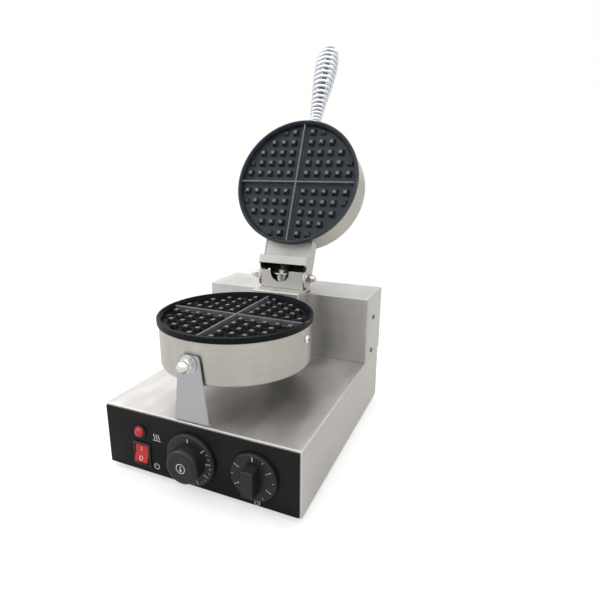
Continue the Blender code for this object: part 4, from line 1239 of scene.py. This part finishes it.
def thermostat():
    """Round knob: a dished skirt that carries the scale, and a fluted grip with a thermometer on its face."""
    frame = facing_front(joint_spot("thermostat_turn"), KNOB_FOOT)
    skirt = [(0.0195, 0.0062, 0), (0.0290, 0.0050, 0.002), (0.0308, 0.0036, 0.0010), (0.0312, 0, 0.0003)]
    bm = revolved([(0, 0.0055), *filleted([*skirt, (0, 0, 0)], 4)], 128)
    levels = [
        (0.0055, 0.0206, 1.0), (0.0075, 0.0205, 1.0), (0.0150, 0.0203, 0.8), (0.0172, 0.0200, 0.4),
        (0.0190, 0.0192, 0.1), (0.0201, 0.0180, 0.0), (0.0206, 0.0164, 0.0), (0.0208, 0.0140, 0.0),
        (0.0206, 0.0120, 0.0), (0.0204, 0.0110, 0.0),
    ]
    add_loft(bm, fluted(36, 6, levels))
    piece("thermostat_dial_knob", bm, "black_plastic", "thermostat_dial", frame, "thermostat_knob", 40)
    marks = bmesh.new()
    scale, face = 0.0057, 0.0204
    radial_mark(marks, 0, 0.0216, 0.0272, 0.0011, scale)
    for i, angle in enumerate(range(48, 229, 12)):
        inner, width = (0.0252, 0.0006) if i % 3 == 0 else (0.0264, 0.0004)
        radial_mark(marks, angle, inner, 0.0284, width, scale - 0.0002)
    for angle, text in zip(range(48, 229, 36), ("50", "100", "150", "200", "250", "300")):
        spin = turn(-angle, "Z") @ at(0, 0.0234, scale + 0.0001)
        glyph(marks, text, 0.0030, spin @ turn(-90, "Z"))
    flat_ring(marks, 0.0049, 0.0058, face, KNOB_PRINT)
    radial_mark(marks, 0, -0.0012, 0.0030, 0.0010, face)
    flat_ring(marks, 0.0, 0.0015, face, KNOB_PRINT, centre_y=-0.0020)
    piece("thermostat_scale", marks, "print", "thermostat_dial", frame)


def timer():
    """Flat disc with a bar grip and a scale of minutes."""
    frame = facing_front(joint_spot("timer_turn"), KNOB_FOOT)
    face = 0.0046
    disc = [(0, face, 0), (0.0255, face, 0.0006), (0.0272, 0.0034, 0.0006), (0.0276, 0, 0.0003), (0, 0, 0)]
    bm = revolved(filleted(disc, 3), 128)
    grip = [(-0.0172, 0.0035, 0), (0.0160, 0.0035, 0), (0.0146, 0.0178, 0.0016), (-0.0150, 0.0178, 0.0016)]
    outline = filleted(grip, 6, closed=True)
    bm.from_mesh(evaluated(prism(outline, -0.0068, 0.0068, "YZ"), bevelled(0.0010, 4)))
    piece("timer_dial_knob", bm, "black_plastic", "timer_dial", frame, "timer_knob", 40)
    marks = bmesh.new()
    scale, outer = face - 0.0001, 0.0246
    radial_mark(marks, 0, 0.0196, outer, 0.0010, scale)
    for minute in range(1, 6):
        angle = 60 * minute
        radial_mark(marks, angle, 0.0222, outer, 0.0008, scale)
        radial_mark(marks, angle - 30, 0.0230, outer, 0.0006, scale)
        glyph(marks, str(minute), 0.0046, turn(-angle, "Z") @ at(0, 0.0195, face))
    piece("timer_scale", marks, "print", "timer_dial", frame)


def switch():
    """Black bezel round the red rocker."""
    spot = joint_spot("rocker_tilt")
    low, high = base_box("switch_body")
    front, half_x, half_z = low.y, (high.x - low.x) / 2, (high.z - low.z) / 2
    sections = []
    for x, z, corner, y in (
        (half_x, half_z, 0.0012, -0.0018), (half_x, half_z, 0.0012, front + 0.0006),
        (half_x - 0.0006, half_z - 0.0006, 0.0010, front), (0.0098, 0.0128, 0.0006, front),
        (0.0094, 0.0124, 0.0005, front + 0.0005), (0.0094, 0.0124, 0.0005, 0.018),
    ):
        outline = rounded_corners(-x, -z, x, z, corner, 4)
        sections.append([(spot.x + a, y, spot.z + b) for a, b in outline])
    bm = bmesh.new()
    rings = add_loft(bm, sections, capped=False)
    bm.faces.new(rings[-1])
    piece("switch_bezel", bm, "black_plastic", "base", BASE, "switch_body")
    rocker(spot)


def rocker(spot):
    """Two-position rocker marked with the usual line and circle, built level and turned by half its throw."""
    throw = JOINTS["rocker_tilt"]["range_deg"][1] / 2
    frame = BASE @ Matrix.Translation(spot) @ turn(-throw, "X")
    front = [(-0.0080, 0.0106, 0.0008), (-0.0066, 0, 0.0040), (-0.0080, -0.0106, 0.0008)]
    behind = [(0.0010, -0.0106, 0.0006), (0.0070, -0.0040, 0.001)]
    behind += [(0.0070, 0.0040, 0.001), (0.0010, 0.0106, 0.0006)]
    side = filleted(front + behind, 5, closed=True)
    cap = evaluated(prism(side, -0.0091, 0.0091, "YZ"), bevelled(0.0004, 3, 50))
    piece("rocker_cap", cap, "red_plastic", "rocker", frame, "switch_rocker")
    slope = math.degrees(math.atan2(0.0014, 0.0106))
    sink, thickness = -0.0001, 0.0004
    marks = bmesh.new()
    line = bar(-0.0005, -0.0026, 0.0005, 0.0026, sink, thickness)
    merge(marks, line, at(0, -0.00735, 0.0055) @ turn(90 + slope, "X"))
    ring = bmesh.new()
    flat_ring(ring, 0.0018, 0.0027, sink, thickness)
    merge(marks, ring, at(0, -0.00735, -0.0055) @ turn(90 - slope, "X"))
    piece("rocker_marks", marks, "print", "rocker", frame)


def lamp():
    """Bezel and domed lens of the signal lamp."""
    frame = facing_front(TO_BASE @ middle("lamp_lens"))
    bezel = [(0.0062, 0.0020, 0), (0.0065, 0.0034, 0.0002), (0.0078, 0.0030, 0.0008)]
    bezel += [(0.0078, 0.0016, 0.0002), (0.0062, 0.0016, 0)]
    ring = revolved(filleted(bezel, 3, closed=True), 48, closed=True)
    piece("lamp_bezel", ring, "black_plastic", "base", frame, "lamp_body")
    top, foot, radius = 0.0082, 0.0034, 0.0064
    profile = [(0, top)]
    for a in range(10, 91, 10):
        lean = math.radians(a)
        profile.append((radius * math.sin(lean), foot + (top - foot) * math.cos(lean)))
    profile += [(radius, 0.0026), (0, 0.0026)]
    piece("lamp_dome", revolved(profile, 48), "red_lens", "base", frame, "lamp_lens")


def legend(name, marks, x, z):
    """A sign printed on the front panel."""
    piece(name, marks, "print", "base", facing_front(Vector((x, 0, z)), FASCIA_FACE))


def legends():
    """Heat, power and time signs beside the lamp, the switch and the timer."""
    lamp_spot, switch_spot = TO_BASE @ middle("lamp_lens"), joint_spot("rocker_tilt")
    heat = bmesh.new()
    for k in range(3):
        sections = []
        for t in range(13):
            x = 0.0032 * (k - 1) + 0.0007 * math.sin(2 * math.pi * t / 12)
            y = -0.0034 + 0.0068 * t / 12
            ends = ((x - 0.0005, 0), (x + 0.0005, 0), (x + 0.0005, PANEL_PRINT), (x - 0.0005, PANEL_PRINT))
            sections.append([(a, y, z) for a, z in ends])
        add_loft(heat, sections)
    merge(heat, bar(-0.0052, -0.0052, 0.0052, -0.0043, 0, PANEL_PRINT))
    legend("heat_legend", heat, lamp_spot.x + 0.0225, lamp_spot.z - 0.002)
    power = bmesh.new()
    flat_ring(power, 0.0030, 0.0039, 0, PANEL_PRINT, 35, 325)
    merge(power, bar(-0.00045, 0.0008, 0.00045, 0.0046, 0, PANEL_PRINT))
    legend("power_legend", power, switch_spot.x + 0.0195, 0.0115)
    clock = bmesh.new()
    flat_ring(clock, 0.0027, 0.0034, 0, PANEL_PRINT)
    merge(clock, bar(-0.0003, -0.0003, 0.0003, 0.0021, 0, PANEL_PRINT))
    merge(clock, bar(-0.0003, -0.0003, 0.0016, 0.0003, 0, PANEL_PRINT))
    legend("timer_legend", clock, joint_spot("timer_turn").x + 0.0025, 0.0043)


# ---- stage


def aimed(spot, direction):
    """A frame at the spot whose local -Z points along the direction."""
    return Matrix.Translation(spot) @ direction.to_track_quat("-Z", "Y").to_matrix().to_4x4()


def camera():
    data = bpy.data.cameras.new("camera")
    data.lens = CAMERA_LENS
    data.sensor_width = SENSOR_WIDTH
    data.shift_x, data.shift_y = CAMERA_SHIFT
    data.clip_start = 0.01
    obj = placed("camera", data)
    a, e = CAMERA_AZIMUTH, CAMERA_ELEVATION
    look = Vector((-math.sin(a) * math.cos(e), math.cos(a) * math.cos(e), -math.sin(e)))
    obj.matrix_world = BASE @ aimed(CAMERA_PLACE, look)
    bpy.context.scene.camera = obj


def area_light(name, direction, distance, size, power):
    """A round soft light that the camera doesn't see, aimed at the middle of the object."""
    data = bpy.data.lights.new(name, "AREA")
    data.shape = "DISK"
    data.size = size
    data.energy = power
    obj = placed(name, data)
    spot = LIGHT_AIM + Vector(direction).normalized() * distance
    obj.matrix_world = aimed(spot, LIGHT_AIM - spot)
    obj.visible_camera = False


def studio():
    """Soft room light, stronger overhead and in front and white to the camera, with a few weak lamps."""
    world = bpy.data.worlds.new("studio")
    bpy.context.scene.world = world
    world.use_nodes = True
    nodes = Nodes(world.node_tree)
    direction = nodes.node("TexCoord").outputs["Generated"]
    parts = nodes.node("SeparateXYZ", {"Vector": direction}).outputs
    height = nodes.between(parts["Z"], ROOM_LOW, ROOM_HIGH, -0.05, 1.0, interpolation_type="SMOOTHSTEP")
    depth = nodes.between(parts["Y"], ROOM_BACK, ROOM_FRONT, 1.0, -1.0)
    seen = nodes.node("LightPath").outputs["Is Camera Ray"]
    mix = nodes.node("Mix", {"Factor": seen, "A": nodes.maths("MULTIPLY", height, depth), "B": 1.0})
    background = world.node_tree.nodes["Background"]
    background.inputs["Color"].default_value = (1, 0.997, 0.992, 1)
    world.node_tree.links.new(mix.outputs["Result"], background.inputs["Strength"])
    for name, settings in LIGHTS.items():
        area_light(name, *settings)


def floor():
    """Pale floor that fades into the white surroundings and reflects less in the object than it shows."""
    bm = bmesh.new()
    bmesh.ops.create_circle(bm, cap_ends=True, segments=96, radius=12)
    mesh = mesh_of(bm, "floor", outward=False)
    obj = placed("floor", mesh)
    obj.location.z = -0.0004
    look = Look("floor_look", (0.86, 0.86, 0.855), 0.55, Specular_IOR_Level=0.2)
    grain = look.noise(look.place(), 300.0, 3.0)
    seen = look.node("LightPath").outputs["Is Camera Ray"]
    pale = look.mixed(grain, (0.85, 0.85, 0.845, 1), (0.87, 0.87, 0.865, 1))
    look.set("Base Color", look.mixed(seen, (0.55, 0.545, 0.53, 1), pale))
    look.bump(grain, 0.00004)
    distance = look.node("VectorMath", {0: look.place()}, operation="LENGTH").outputs["Value"]
    fade = look.maths("MULTIPLY", look.between(distance, 0.55, 1.0, 0.35, 1.1), seen)
    light = look.node("Emission", {"Color": (1, 1, 1, 1), "Strength": 1.0}).outputs["Emission"]
    blend = look.node("MixShader", {0: fade, 1: look.shader.outputs["BSDF"], 2: light}).outputs["Shader"]
    output = next(node for node in look.tree.nodes if node.type == "OUTPUT_MATERIAL")
    look.tree.links.new(blend, output.inputs["Surface"])
    mesh.materials.append(look.material)


# ---- build

camera()
dress_cad_nodes()
base_shell()
fascia()
rear_housing()
feet()
cable_gland()
pedestal()
hinge_bracket()
lead_bushing()
pivot_fasteners()
pan()
pan_supports()
lid_shell()
arm()
arm_back()
coil()
grip_ends()
leads()
thermostat()
timer()
switch()
lamp()
legends()
studio()
floor()
bpy.context.scene.view_settings.view_transform = "Standard"

bpy.context.view_layer.update()
